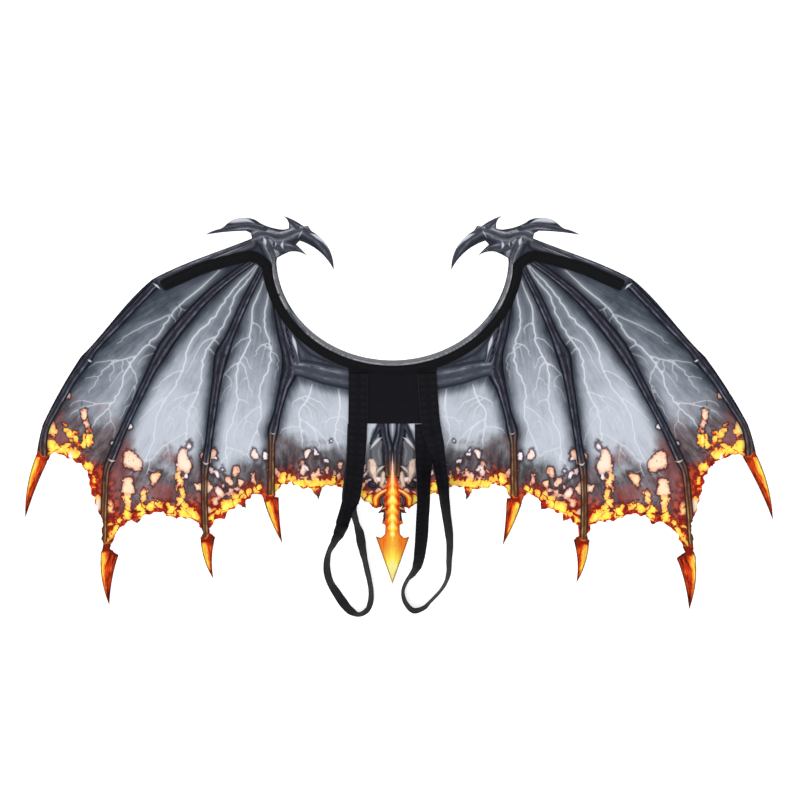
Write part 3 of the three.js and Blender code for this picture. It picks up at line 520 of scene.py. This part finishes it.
# woven elastic: lengthwise rubber ribs 2 mm apart under black yarn, satin where it turns to the light, and a painted
# highlight along both edges
ELASTIC = woven("woven_elastic", "#07070a", "#111117", 2.4, 1.6, 0.56, 0.00012, 0.06, "#34343b")
# spun polyester thread: black, with a slight shine on each stitch
THREAD = woven("spun_polyester_thread", "#0c0c0f", "#26262b", 0.3, 0.3, 0.5, 0.00003)


# ---- the printed panel ----------------------------------------------------------------
def panel_outline():
    """The panel's edge from its CAD node: the sides of the top faces that belong to one face only. Each is cut into
    short steps, on a cubic curve where its corners are blunt, and the torn hem is roughened along its normal."""
    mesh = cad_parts["wing_panel"].data
    co, tri = np.empty(len(mesh.vertices) * 3, np.float32), np.empty(len(mesh.loops), np.int32)
    mesh.vertices.foreach_get("co", co)
    mesh.loops.foreach_get("vertex_index", tri)
    key, index = np.unique(np.round(co.reshape(-1, 3) * 1000, 3), axis=0, return_inverse=True)
    tri = index.ravel()[tri].reshape(-1, 3)
    tri = tri[key[tri, 2].min(1) > THICK - 0.01]
    side = tri[:, [0, 1, 1, 2, 2, 0]].reshape(-1, 2)
    rim = side[~np.isin(side[:, 0] * len(key) + side[:, 1], side[:, 1] * len(key) + side[:, 0])]
    after, before = np.full(len(key), -1), np.full(len(key), -1)
    after[rim[:, 0]], before[rim[:, 1]] = rim[:, 1], rim[:, 0]
    p = key[:, :2].astype(float)
    a, b = rim.T
    chord = p[b] - p[a]
    long = np.linalg.norm(chord, axis=1)

    def heading(corner):
        back, on = p[corner] - p[before[corner]], p[after[corner]] - p[corner]
        lb, lo = np.linalg.norm(back, axis=1), np.linalg.norm(on, axis=1)
        turn = np.degrees(np.arccos(np.clip((back * on).sum(1) / lb / lo, -1, 1)))
        return unit(back / lb[:, None] + on / lo[:, None]), turn < BLUNT

    (ta, blunt_a), (tb, blunt_b) = heading(a), heading(b)
    ta = np.where(blunt_a[:, None], ta * long[:, None], chord)
    tb = np.where(blunt_b[:, None], tb * long[:, None], chord)
    n = np.maximum(1, np.ceil(long / EDGE_STEP)).astype(int)
    e = np.repeat(np.arange(len(rim)), n)
    k = np.arange(n.sum()) - np.repeat(np.cumsum(n) - n, n)
    t = (k / n[e])[:, None]
    line = ((2 * t ** 3 - 3 * t ** 2 + 1) * p[a][e] + (t ** 3 - 2 * t ** 2 + t) * ta[e]
            + (3 * t ** 2 - 2 * t ** 3) * p[b][e] + (t ** 3 - t ** 2) * tb[e])
    first = np.zeros(len(key), int)
    first[a] = np.cumsum(n) - n
    succ = np.where(k + 1 < n[e], np.arange(len(e)) + 1, first[b[e]])
    normal = np.stack([chord[:, 1], -chord[:, 0]], -1)[e] / long[e][:, None]
    pattern = unlay(line)
    torn = smooth(nearest(pattern, HEM_LINE[0])[1], 22, 12) * (1 - smooth(nearest(pattern, CLAW_LINE)[1], 14, 8))
    s = np.arange(len(e))
    line = line + normal * (torn * (HEM_ROUGHNESS[0] * scatter(s) + HEM_ROUGHNESS[1] * scatter(s // 3 + 900)))[:, None]
    return line, np.stack([s, succ], 1), normal


def nearest(points, targets, weight=None):
    """For each point the nearest target and its distance, or the one that is least distance over weight, in blocks."""
    found, far = np.empty(len(points), int), np.empty(len(points))
    w = 1 if weight is None else weight ** -2
    own = (targets ** 2).sum(1)
    for i in range(0, len(points), 4000):
        block = points[i:i + 4000]
        d = ((block ** 2).sum(1)[:, None] + own - 2 * block @ targets.T) * w
        found[i:i + 4000] = d.argmin(1)
    far = np.linalg.norm(points - targets[found], axis=1)
    return found, far


def to_line(points, line, ends, found):
    """Distance to the two stretches that meet at each point's nearest sample, the side of the line that the point is
    on, and its place along the line in samples."""
    best, sign, place = np.full(len(points), 1e9), np.zeros(len(points)), found.astype(float)
    for step in (-1, 1):
        other = np.clip(found + step, 0, len(line) - 1)
        other = np.where(ends[other] == ends[found], other, found)
        run = line[other] - line[found]
        length = np.maximum((run ** 2).sum(1), 1e-9)
        rel = points - line[found]
        t = np.clip((rel * run).sum(1) / length, 0, 1)
        d = np.linalg.norm(rel - run * t[:, None], axis=1)
        cross = step * (run[:, 0] * rel[:, 1] - run[:, 1] * rel[:, 0])
        sign = np.where((d < best) & (length > 1e-6), np.sign(cross), sign)
        place = np.where(d < best, found + step * t, place)
        best = np.minimum(best, d)
    return best, sign, place


def sampled(lines, step=LINE_STEP):
    """Every line as even samples in one array, with the line's number for each sample."""
    parts = [even(through(line, 8), step)[0] for line in lines]
    return np.concatenate(parts), np.repeat(np.arange(len(parts)), [len(x) for x in parts])


HEM_LINE = sampled([np.array(h) * (HALF_SPAN, WING_HEIGHT) for h in HEMS])
COLLAR = np.column_stack([neck_line(1, 3.5, 12) - MIDDLE, np.full(12, 6.5), np.zeros(12)])  # light edge of the neck
BONE_LINE = sampled([from_photo(rows) for _, rows in BONES.values()] + [COLLAR])
GLINT_LINE = sampled([from_photo(rows) for rows in GLINTS.values()], ARC_STEP)
SHOULDER = from_photo([(266, 238, 1)])[0, :2]
CLAW_LINE = np.concatenate([from_photo(rows)[1:, :2] for kind, rows in BONES.values() if kind == "claw"])


def veins():
    """Forked veins in each bay. A path runs down the bay from share f0 of its width to share aim, with a slow wander
    and a jagged one of about a millimetre. Trunks come first, then branches and twigs: of a dozen tries each, the one
    that stays farthest from the veins already there is kept. Each row is out, up, and a strength that falls along it."""
    rng = np.random.default_rng(23)
    lines = []
    trunks = {"outer": ((0.7, 0.6),), "wide": ((0.6, 0.3), (0.9, 0.78)), "middle": ((0.3, 0.3), (0.75, 0.78)),
              "inner": ((0.3, 0.3), (0.8, 0.8))}
    for bay, (outer, inner) in BAYS.items():
        a, b = (even(through(from_photo([(*p, 1) for p in side])[:, :2], 8), LINE_STEP)[0] for side in (outer, inner))
        n = max(len(a), len(b))
        a, b = (np.stack([np.interp(np.linspace(0, 1, n), np.linspace(0, 1, len(x)), x[:, j]) for j in (0, 1)], -1)
                for x in (a, b))
        deep = n * LINE_STEP

        def path(t0, f0, aim, span, strong, fade):
            s = np.linspace(0, 1, max(6, int(span * n * 2)))
            i = np.clip((t0 + span * s) * n, 0, n - 1).astype(int)
            mm = s * (span * deep + abs(aim - f0) * 30)
            knots = np.arange(0, mm[-1] + 14, 7)
            wander = 4.5 * np.sin(mm / rng.uniform(15, 22) + rng.uniform(0, 6))
            wander = wander + np.interp(mm, knots, rng.uniform(-2.2, 2.2, len(knots)))
            wide = np.maximum(np.linalg.norm(b[i] - a[i], axis=1), 12)
            f = f0 + (aim - f0) * (1 - np.exp(-3.4 * s)) / 0.967 + (wander - wander[0]) * np.minimum(1, s * 4) / wide
            strength = strong * (1 - fade * s) * (0.55 + 0.45 * smooth(s, 0, 0.12))
            return even(np.column_stack([a[i] + (b[i] - a[i]) * f[:, None], strength, i / n, f]), VEIN_STEP)[0]

        grown = [path(0.02, f0, aim, rng.uniform(0.76, 0.86), 1.0, 0.45) for f0, aim in trunks[bay]]
        for count, reach, far, strong in BRANCHES:
            for _ in range(count):
                best, room = None, 4.5
                for _ in range(14):
                    parent = grown[rng.integers(len(grown))]
                    k = rng.integers(len(parent) // 8, max(len(parent) // 8 + 1, int(len(parent) * 0.85)))
                    t0, f0 = parent[k, 3:]
                    width = np.linalg.norm(b[int(t0 * n)] - a[int(t0 * n)])
                    aim = f0 + rng.choice([-1, 1]) * rng.uniform(*far) / width
                    if not 0.03 < aim < 0.97:
                        continue
                    tried = path(t0, f0, aim, rng.uniform(*reach), strong * parent[k, 2], 0.7)
                    near = nearest(tried[len(tried) // 3:, :2], np.concatenate([g[:, :2] for g in grown]))[1].min()
                    if near > room and tried[-1, 2] > 0:
                        best, room = tried, near
                if best is not None:
                    grown.append(best)
        lines += [g[:, :3] for g in grown]
    ends = np.repeat(np.arange(len(lines)), [len(x) for x in lines])
    return np.concatenate(lines), ends


BRANCHES = [  # tries, share of the bay's depth, reach across it in mm, strength
    (7, (0.14, 0.32), (26, 70), 0.85), (11, (0.06, 0.16), (14, 38), 0.7), (14, (0.03, 0.08), (7, 18), 0.55)]

INKS = {  # dark and light of the cold part, dark and light of the burnt part
    "arm": ("#353640", "#a3a7b6", "#2a1c20", "#7d2c1c"), "arrow": ("#8a3a12", "#8a4a38", "#b0561a", "#fba32a"),
    "bone": ("#1d1e28", "#878a9d", "#5a2817", "#e8ba5a"), "claw": ("#3a0f0a", "#f0a02c", "#3a0f0a", "#f6a52c"),
    "collar": ("#6c6e73", "#e0e2e6", "#6c6e73", "#e0e2e6"), "cream": ("#e8cab8", "#faeade", "#f0c49c", "#ffe6bc"),
    "disc": ("#66676e", "#96979e", "#66676e", "#96979e"), "head": ("#323541", "#e2e6f0", "#323541", "#e2e6f0"),
    "slate": ("#3e424e", "#9499a6", "#3e424e", "#9499a6"),
    "tail": ("#241c24", "#8a4a38", "#5a160c", "#fba32a"),
}


def burnt_reach(pattern, inner=0.7):
    """How high the burnt band climbs, by the angle at the shoulder: inner in the inner bay, higher in the two outer
    ones."""
    degrees = np.degrees(np.arctan2(*(pattern - SHOULDER).T[::-1]))
    high = 0.44 * smooth(degrees, -80, -75) * (1 - 0.3 * smooth(degrees, -50, -38))
    return inner + (0.88 - inner) * smooth(degrees, -94, -88) + high


def islands():
    """Glowing islands along each hem: out, up, half width, half height, lean, warmth and two phases of each outline.
    Where the hem climbs to a claw they are small and close, and the upper rows leave off."""
    rng = np.random.default_rng(71)
    rows = []
    for hem in HEMS:
        line, at = even(through(np.array(hem) * (HALF_SPAN, WING_HEIGHT), 8), 1.0)
        run = unit(np.gradient(line, axis=0))
        for height, gap, wide, tall, warmth, kept in ISLAND_ROWS:
            place = rng.uniform(0.2, 0.8) * gap
            while place < at[-1] - 3:
                k = int(place)
                steep = float(smooth(abs(run[k, 1]), 0.62, 0.88))
                into = np.array([run[k, 1], -run[k, 0]])
                cool = float(smooth(line[k, 0], 300, 230)) * (height > 20)
                reach = burnt_reach(line[k:k + 1])[0]
                size = (1 - 0.3 * steep) * (1 - 0.5 * cool) * min(1, 0.35 + 0.65 * reach)
                up = height * reach * rng.uniform(0.8, 1.2) * (1 - 0.4 * steep)
                row = [*(line[k] + into * up), rng.uniform(*wide) * size, rng.uniform(*tall) * size,
                       np.arctan2(into[1], into[0]) * 0.5 + np.pi / 4 + rng.normal(0, 0.35),
                       rng.uniform(*warmth) * (1 - 0.55 * cool), rng.uniform(0, 6.3), rng.uniform(0, 6.3)]
                if rng.random() < kept and (height < 20 or steep < 0.6):
                    rows.append(row)
                place += gap * rng.uniform(0.75, 1.3) * size * (1 + 0.05 * steep)
    return np.array(rows)


def ember_field(pattern):
    """How deep each point lies in an island, in mm, negative outside, and that island's warmth. An island is an ellipse
    whose radius swings with the second and third harmonic."""
    x, y, wide, tall, lean, warmth, p2, p3 = ISLANDS.T
    best, warm = np.full(len(pattern), -60.0), np.zeros(len(pattern))
    for i in range(len(ISLANDS)):
        dx, dy = pattern[:, 0] - x[i], pattern[:, 1] - y[i]
        u = (-dx * np.sin(lean[i]) + dy * np.cos(lean[i])) / wide[i]
        v = (dx * np.cos(lean[i]) + dy * np.sin(lean[i])) / tall[i]
        turn = np.arctan2(v, u)
        radius = 1 + 0.16 * np.sin(2 * turn + p2[i]) + 0.12 * np.sin(3 * turn + p3[i])
        depth = (radius - np.hypot(u, v)) * min(wide[i], tall[i])
        nearer = depth > best
        best, warm = np.where(nearer, depth, best), np.where(nearer, warmth[i], warm)
    return best, warm


def panel_fields(xy, edge):
    """What the print needs at each point of the panel, from distances to the hem, the bones, the veins and the light
    arcs."""
    pattern = unlay(xy)
    hem = to_line(pattern, *HEM_LINE, nearest(pattern, HEM_LINE[0])[0])[0]
    rel = pattern - SHOULDER
    radius, angle = np.linalg.norm(rel, axis=1), np.arctan2(rel[:, 1], rel[:, 0])
    flat, ones = 0 * radius, np.ones(len(xy))

    # the bone that each point is nearest to, its inks, and the course of the brush over it
    lines, ends = BONE_LINE
    found, _ = nearest(pattern, lines[:, :2], lines[:, 2])
    bone, side, along = to_line(pattern, lines[:, :2], ends, found)
    half, burnt = lines[found, 2], lines[found, 3]
    kinds = np.array([kind for kind, _ in BONES.values()] + ["collar"])[ends[found]]
    inks = np.searchsorted(sorted(INKS), kinds)
    shade = [np.array([linear(INKS[kind][i]) for kind in sorted(INKS)])[inks] for i in range(4)]
    dark, light = (shade[i] + (shade[i + 2] - shade[i]) * burnt[:, None] for i in (0, 1))
    off = np.minimum(bone / half, 6)
    across = side * off
    scales = 0.12 * np.sin((pattern[:, 1] + bone * 0.9) / 2.1) * smooth(half, 5, 11)
    lane = np.select(
        [kinds == "claw", kinds == "arrow"],
        [0.06 + 0.24 * burnt + 0.5 * smooth(across, 0.05, 0.5),
         0.5 + 0.46 * smooth(pattern[:, 1], 98, 50) + 0.2 * smooth(bone, 14, 0)],
        0.28 + 0.68 * smooth(bone / half, 1, 0) ** 1.2 * burnt + scales)

    # veins and light arcs
    vein, vein_ends = VEINS
    at, _ = nearest(pattern, vein[:, :2])
    far, strong = to_line(pattern, vein[:, :2], vein_ends, at)[0], vein[at, 2]
    clear = smooth(hem, 10, 70)  # veins fade towards the hem
    arcs, arc_ends = GLINT_LINE
    on_arc, _ = nearest(pattern, arcs[:, :2], arcs[:, 2] + 0.5)
    arc = to_line(pattern, arcs[:, :2], arc_ends, on_arc)[0]
    hotness = smooth(pattern[:, 1], 260, 150)[:, None]
    glint_ink = linear("#dcdfe8") * (1 - hotness) + linear("#fbd69a") * hotness

    # the membrane's tone: dark at the shoulder, beside the bones and in the outer bay
    past = np.maximum(0, bone - half)
    beside = 0.25 + 0.75 * smooth(past / (0.35 + 0.65 * smooth(pattern[:, 0], 40, 60)), -1, 20)
    outward = 1 - 0.68 * smooth(np.degrees(angle), -58, -34)
    tone = np.clip((radius - 20) / 265, 0.05, 1) ** 1.15 * beside * outward
    ember, warmth = ember_field(pattern)
    red = smooth(past, 30, 10) * smooth(burnt, 0.15, 0.5) * (kinds == "bone") * smooth(pattern[:, 0], 190, 230)
    return dict(
        plan=np.column_stack([pattern, flat]) * M, fan=np.column_stack([angle * 150, radius, flat]) * M,
        strokes=np.column_stack([side * bone, along * LINE_STEP + ends[found] * 900.0, flat]) * M,
        tone=tone, hem=hem, burn=hem / burnt_reach(pattern, 1.05), ember=ember, warmth=warmth,
        red=red * smooth(hem, 48, 18), vein=np.minimum(far / (0.38 + 0.5 * strong), 9) + 9 * (1 - clear),
        glow=np.exp(-far / 5) * strong * clear, across=across, off=off, lane=lane,
        fiery=np.select([kinds == "claw", kinds == "tail", kinds == "arrow"], [1.0, 0.7, 0.3]),
        rim=nearest(xy, edge)[1], glint=np.minimum(arc / arcs[on_arc, 2], 9) + 3 * (1 - arcs[on_arc, 3]),
        ink_dark=np.column_stack([dark, ones]), ink_light=np.column_stack([light, ones]),
        glint_ink=np.column_stack([glint_ink, ones]))


def panel_height(xy):
    """How far the cloth stands off the table: two long waves over each wing, none under casing, patch and straps."""
    path = casing_line()[0]
    free = smooth(nearest(xy, path[::8])[1], 16, 75) * smooth(np.abs(xy[:, 0] - MIDDLE[0]), 118, 185)
    pattern = unlay(xy)
    wave = 1 + np.sin(pattern[:, 0] / 41 + pattern[:, 1] / 160) * np.cos(pattern[:, 1] / 75 - 0.8)
    return WAVE * wave * free


def panel():
    """The cut felt: its edge, even points on a hexagonal grid, and points on the veins and bones, joined by a
    Delaunay net inside the edge, with a wall THICK deep below it."""
    edge, links, normal = panel_outline()
    low, high = edge.min(0), edge.max(0)

    def hexagonal(step):
        i, j = np.meshgrid(np.arange(0, (high[0] - low[0]) / step),
                           np.arange(0, (high[1] - low[1]) / (step * 0.866)), indexing="ij")
        xy = np.stack([low[0] + (i + 0.5 * (j % 2)) * step, low[1] + j * step * 0.866], -1).reshape(-1, 2)
        out, up = unlay(xy).T
        return xy, np.any([(out >= a) & (out < b) & (up >= c) & (up < d) for a, b, c, d in FINE_AREAS], 0)

    (coarse, inside), (fine, within) = hexagonal(GRAIN), hexagonal(FINE_GRAIN)
    grid = np.concatenate([coarse[~inside], fine[within]])
    own = np.concatenate([lines[0][:, :2] for lines in (VEINS, BONE_LINE, GLINT_LINE)]) / (HALF_SPAN, WING_HEIGHT)
    drawn = np.concatenate([lay(s, own[:, 0], own[:, 1]) for s in (-1, 1)])
    drawn = drawn[nearest(drawn, edge)[1] > 1.5]
    by, far = nearest(grid, edge)
    outward = normal.copy()
    outward[links[:, 1]] += normal  # an edge point belongs to two sides
    grid = grid[(far > 1.5) & (((grid - edge[by]) * outward[by]).sum(1) < 0)]
    grid = grid[nearest(grid, drawn)[1] > 1.3]
    points = np.concatenate([edge, drawn, grid])
    co, _, faces, *_ = geometry.delaunay_2d_cdt([Vector(p) for p in points.tolist()], links.tolist(), [], 1, 0.05)
    faces = np.array(faces)
    kept, faces = np.unique(faces, return_inverse=True)
    co, faces = np.array(co)[kept], faces.reshape(-1, 3)
    top = np.column_stack([co, THICK + panel_height(co)])
    obj = make("wing_panel_felt", top, faces, FELT, **panel_fields(co, edge))
    wall = obj.modifiers.new("thickness", "SOLIDIFY")
    wall.thickness, wall.offset = THICK * M, -1
    return obj


# ---- casing, patch and straps ---------------------------------------------------------
def casing_top(u):
    """Height of the casing's section over its width u from -0.5 to 0.5: flanges, a seam groove and the tunnel over the
    wire."""
    top = 0.2 + 0.08 * np.cos(u * 2 * np.pi * 2.2) + 0.72 * smooth(np.abs(u), 0.38, 0.06)
    return np.minimum(top - 0.1 * np.exp(-((np.abs(u) - SEAM_AT) / 0.03) ** 2), 1)


def casing():
    """Sewn casing over the wire: a flat flange each side, a domed tunnel between, and small puckers at the stitches."""
    line, run, normal, end, width = casing_line()
    u = np.concatenate([np.linspace(-0.5, 0.5, 27), [0.5, 0.25, 0, -0.25, -0.5]])
    v = np.concatenate([casing_top(u[:27]), np.zeros(5)])
    by_seam = np.exp(-((np.abs(u) - SEAM_AT - 0.02) / 0.08) ** 2)
    pucker = 1 + 0.05 * np.sin(run * 2 * np.pi / STITCH)[:, None] * by_seam + 0.05 * np.sin(run / 23)[:, None]
    rounding = smooth(end, -3, 6)[:, None]
    height = CASING_HEIGHT * np.minimum(pucker * (0.45 + 0.55 * rounding), 1 / np.maximum(v, 0.5))
    at = np.column_stack([line, np.full(len(line), THICK + GAP)])
    return sweep("wire_casing_tape", at, np.column_stack([normal, 0 * run]), np.tile([0, 0, 1.0], (len(line), 1)),
                 np.stack([u, v], -1), TAPE, run, width, height)


def under_casing(x):
    """Row-frame y of the casing's lower edge over each x."""
    edge = np.concatenate([neck_line(s, NECK_MARGIN + CASING_WIDTH + GAP, 400)[::s] for s in (-1, 1)])
    edge = edge[np.argsort(edge[:, 0])]
    return np.interp(x, edge[:, 0], edge[:, 1])


def patch_top(x, y):
    """Height of the patch at x from its middle and y: hems 9 mm wide folded in round three sides with a seam groove in
    them, a seam under the casing, and a slight crown between."""
    high, fold = under_casing(x + MIDDLE[0]) - y, np.minimum(PATCH_HALF - np.abs(x), y - PATCH_BOTTOM)
    z = 0.75 + 0.35 * smooth(fold, 9.4, 8.2) + 0.14 * smooth(high, TOP_SEAM + 0.5, TOP_SEAM - 0.5)
    z -= 0.22 * np.exp(-((fold - HEM_SEAM) / 0.7) ** 2) + 0.3 * np.exp(-((high - TOP_SEAM) / 0.8) ** 2)
    z += 0.2 * smooth(fold, 8, 26) * (1 + 0.5 * np.sin(x / 17) * np.cos(y / 12))
    return z * smooth(fold, -0.7, 0.9)


def patch():
    """Back patch: a slab whose top is patch_top and whose bottom is flat, from the lower hem to the casing's edge."""
    x = np.linspace(-PATCH_HALF, PATCH_HALF, 130)
    s = np.linspace(0, 1, 84)
    y_top = under_casing(x + MIDDLE[0]) + GAP - 0.05
    gx, gs = np.meshgrid(x, s, indexing="ij")
    gy = PATCH_BOTTOM + (y_top[:, None] - PATCH_BOTTOM) * gs
    top = np.stack([gx + MIDDLE[0], gy, THICK + GAP + np.clip(patch_top(gx, gy), 0.15, PATCH_THICKNESS)], -1)
    under = top.copy()
    under[..., 2] = THICK + GAP
    n, m = gx.shape
    faces = grid_faces(n, m, False)
    ring = np.concatenate([np.arange(n) * m, (n - 1) * m + np.arange(1, m), np.arange(n - 2, -1, -1) * m + m - 1,
                           np.arange(m - 2, 0, -1)])
    wall = np.stack([ring, np.roll(ring, -1), np.roll(ring, -1) + n * m, ring + n * m], -1)
    weave = np.tile(np.stack([gx, gy, 0 * gx], -1).reshape(-1, 3), (2, 1)) * M
    return make("back_patch_cloth", np.concatenate([top.reshape(-1, 3), under.reshape(-1, 3)]),
                np.concatenate([faces, faces[:, ::-1] + n * m, wall[:, ::-1]]), POPLIN, weave=weave)


def strap(name, rows, turn):
    """Woven elastic ribbon: at each station it leans by tilt, its lower edge at lift, and its section is a flat oval.
    turn is 1 where the loop's outside is on the right of the way along it, and -1 where it is on the left."""
    rows = np.array(rows, float)
    side = np.sign(rows[0, 0])
    inner = rows[0, 0] * HALF_SPAN - side * STRAP_WIDTH / 2 + MIDDLE[0]
    rows[0, 1] = (under_casing(inner) - GAP - MIDDLE[1]) / WING_HEIGHT
    rows[-1, 1] = PATCH_BOTTOM_UP - 3 * GAP / WING_HEIGHT  # its corners rise a little, as it comes in at a slant
    per = 16
    k = np.arange((len(rows) - 1) * per + 1) / per

    def state(k):
        k = np.clip(k, 0, len(rows) - 1)
        i = np.minimum(k.astype(int), len(rows) - 2)
        ease = ((k - i) ** 2 * (3 - 2 * (k - i)))
        tilt = np.radians(rows[i, 2] + (rows[i + 1, 2] - rows[i, 2]) * ease)
        lift = (rows[i, 3] + (rows[i + 1, 3] - rows[i, 3]) * ease) * STRAP_WIDTH
        xy = np.stack([np.interp(k, dense_k, dense[:, j]) for j in (0, 1)], -1)
        z = lift + STRAP_THICKNESS / 2 * np.cos(tilt) + STRAP_WIDTH / 2 * np.sin(tilt)
        return np.column_stack([xy, z]), tilt

    dense = through(rows[:, :2] * (HALF_SPAN, WING_HEIGHT), 64) + MIDDLE
    dense_k = np.arange(len(dense)) / 64
    at, tilt = state(k)
    along = unit(state(k + 0.12)[0] - state(k - 0.12)[0])
    outward = unit(np.stack([along[:, 1], -along[:, 0], 0 * k], -1) * turn)
    across = outward * np.cos(tilt)[:, None] + np.stack([0 * k, 0 * k, np.sin(tilt)], -1)
    across = unit(across - along * (across * along).sum(1)[:, None])
    thick = np.cross(along, across)
    u = np.linspace(-1, 1, 29)
    rib = 0.5 - 0.06 * (1 - np.cos(u * np.pi * 7)) - 0.3 * smooth(np.abs(u), 0.93, 1.0)
    profile = np.concatenate([np.stack([u, rib], -1), np.stack([u, -rib], -1)[::-1]])
    profile = profile * (STRAP_WIDTH / 2, STRAP_THICKNESS)
    run = np.concatenate([[0], np.cumsum(np.linalg.norm(np.diff(at, axis=0), axis=1))])
    return sweep(name, at, across, thick, profile[::-1], ELASTIC, run), run[-1]


def stitches(name, seams):
    """A row of stitches on each seam, a polyline of mm points: spindles of five sides, STITCH apart and four fifths of
    that long, half sunk in the cloth and leaning a few degrees, each to its own side."""
    at = [even(seam, STITCH, 3)[0] for seam in seams]
    run = unit(np.concatenate([np.gradient(p, axis=0) for p in at]))
    at = np.concatenate(at)
    turn = 0.09 + 0.05 * scatter(np.arange(len(at)))
    flat = np.stack([-run[:, 1], run[:, 0], 0 * turn], -1)
    run, flat = run + flat * turn[:, None], flat - run * turn[:, None]
    ring = np.arange(5) * 2 * np.pi / 5
    along = np.concatenate([[-1], np.full(5, -0.55), np.full(5, 0.55), [1]]) * STITCH * 0.4
    wide, deep = (np.concatenate([[0], wave, wave, [0]]) * THREAD_WIDTH / 2 for wave in (np.cos(ring), np.sin(ring)))
    points = at[:, None] + run[:, None] * along[:, None] + flat[:, None] * wide[:, None]
    points = points + deep[:, None] * np.array([0, 0, 1.0])
    k = np.arange(5)
    tips = np.concatenate([np.stack([k * 0, 1 + (k + 1) % 5, 1 + k], -1),
                           np.stack([k * 0 + 11, 6 + k, 6 + (k + 1) % 5], -1)])
    sides = np.stack([1 + k, 1 + (k + 1) % 5, 6 + (k + 1) % 5, 6 + k], -1)
    step = (np.arange(len(at)) * 12)[:, None, None]
    faces = (tips + step).reshape(-1, 3).tolist() + (sides + step).reshape(-1, 4).tolist()
    weave = np.tile(np.column_stack([wide, along, deep]) * M, (len(at), 1))
    return make(name, points.reshape(-1, 3), faces, THREAD, weave=weave)


def casing_seams():
    """The two stitched lines along the casing, on the floor of its grooves."""
    line, run, normal, end, width = casing_line()
    floor = CASING_HEIGHT * casing_top(np.array([SEAM_AT]))[0] * (0.45 + 0.55 * smooth(end, -3, 6))
    z = THICK + GAP + floor + SEAM_RISE
    keep = end > 4
    return [np.column_stack([line + normal * (width * SEAM_AT * s)[:, None], z])[keep] for s in (-1, 1)]


def patch_seams():
    """The stitched line 6 mm inside the patch's three hems, and the one under the casing."""
    low, half = PATCH_BOTTOM + HEM_SEAM, PATCH_HALF - HEM_SEAM
    x = np.linspace(-half, half, 60)
    under = under_casing(x + MIDDLE[0]) - TOP_SEAM
    sides = [np.column_stack([np.full(30, s * half), np.linspace(low, under[0], 30)]) for s in (-1, 1)]
    lines = [np.column_stack([x, under]), np.column_stack([x, np.full(60, low)]), *sides]
    return [np.column_stack([p[:, 0] + MIDDLE[0], p[:, 1], THICK + GAP + patch_top(p[:, 0], p[:, 1]) + SEAM_RISE])
            for p in lines]


VEINS = veins()
ISLANDS = islands()
felt = panel()
casing_tape = casing()
patch_cloth = patch()
left_loop, left_length = strap("left_strap_elastic", LEFT_STRAP, 1)
right_loop, right_length = strap("right_strap_elastic", RIGHT_STRAP, -1)

casing_stitches = stitches("casing_stitches", casing_seams())
patch_stitches = stitches("patch_stitches", patch_seams())
for piece, slot in ((casing_stitches, "tape"), (patch_stitches, "cloth")):
    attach(piece, "root")

for piece, node, slot in (
        (felt, "wing_panel", "felt"), (casing_tape, "wire_casing", "tape"), (patch_cloth, "back_patch", "cloth"),
        (left_loop, "left_strap", "elastic"), (right_loop, "right_strap", "elastic")):
    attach(piece, "root")
    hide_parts(node)

# ---- table, light and camera ----------------------------------------------------------
def table_top():
    """A white acrylic light table, lit a little from within as for a catalogue photograph: a flat square 6 m wide,
    0.2 mm under the wings."""
    material, t = new_material("opal_acrylic_sheet")
    grain = add(t, "TexNoise", {"Vector": add(t, "TexCoord", out="Object"), "Scale": 900.0, "Detail": 2.0})
    tint = add(t, "ValToRGB", (grain,), ramp=[(0, "#f4f4f5"), (1, "#f8f8f8")])
    finish_material(t, tint, grain, 0.00002, Roughness=0.6, Specular_IOR_Level=0.2, Emission_Color=(1, 1, 1, 1),
                    Emission_Strength=0.45)
    corners = [(x * 3000, y * 3000, -0.2) for x, y in ((-1, -1), (1, -1), (1, 1), (-1, 1))]
    make("table_top", corners, [[0, 1, 2, 3]], material)


table_top()
scene = bpy.context.scene
scene.view_settings.view_transform = "Standard"
scene.world = bpy.data.worlds.new("studio")
scene.world.use_nodes = True
background = scene.world.node_tree.nodes["Background"].inputs
background["Color"].default_value, background["Strength"].default_value = (1, 1, 1, 1), 1.1

sun = bpy.data.objects.new("overhead_softbox", bpy.data.lights.new("overhead_softbox", "SUN"))
sun.data.energy, sun.data.angle = 0.9, 0.7
sun.rotation_euler = (0.35, -0.45, 0)
scene.collection.objects.link(sun)

CAMERA_HEIGHT, VIEW_WIDTH = 5.0, 1.178
camera = bpy.data.objects.new("camera", bpy.data.cameras.new("camera"))
camera.location = (0.0014, 0.0235, CAMERA_HEIGHT)
camera.data.lens = camera.data.sensor_width * CAMERA_HEIGHT / VIEW_WIDTH
scene.collection.objects.link(camera)
scene.camera = camera
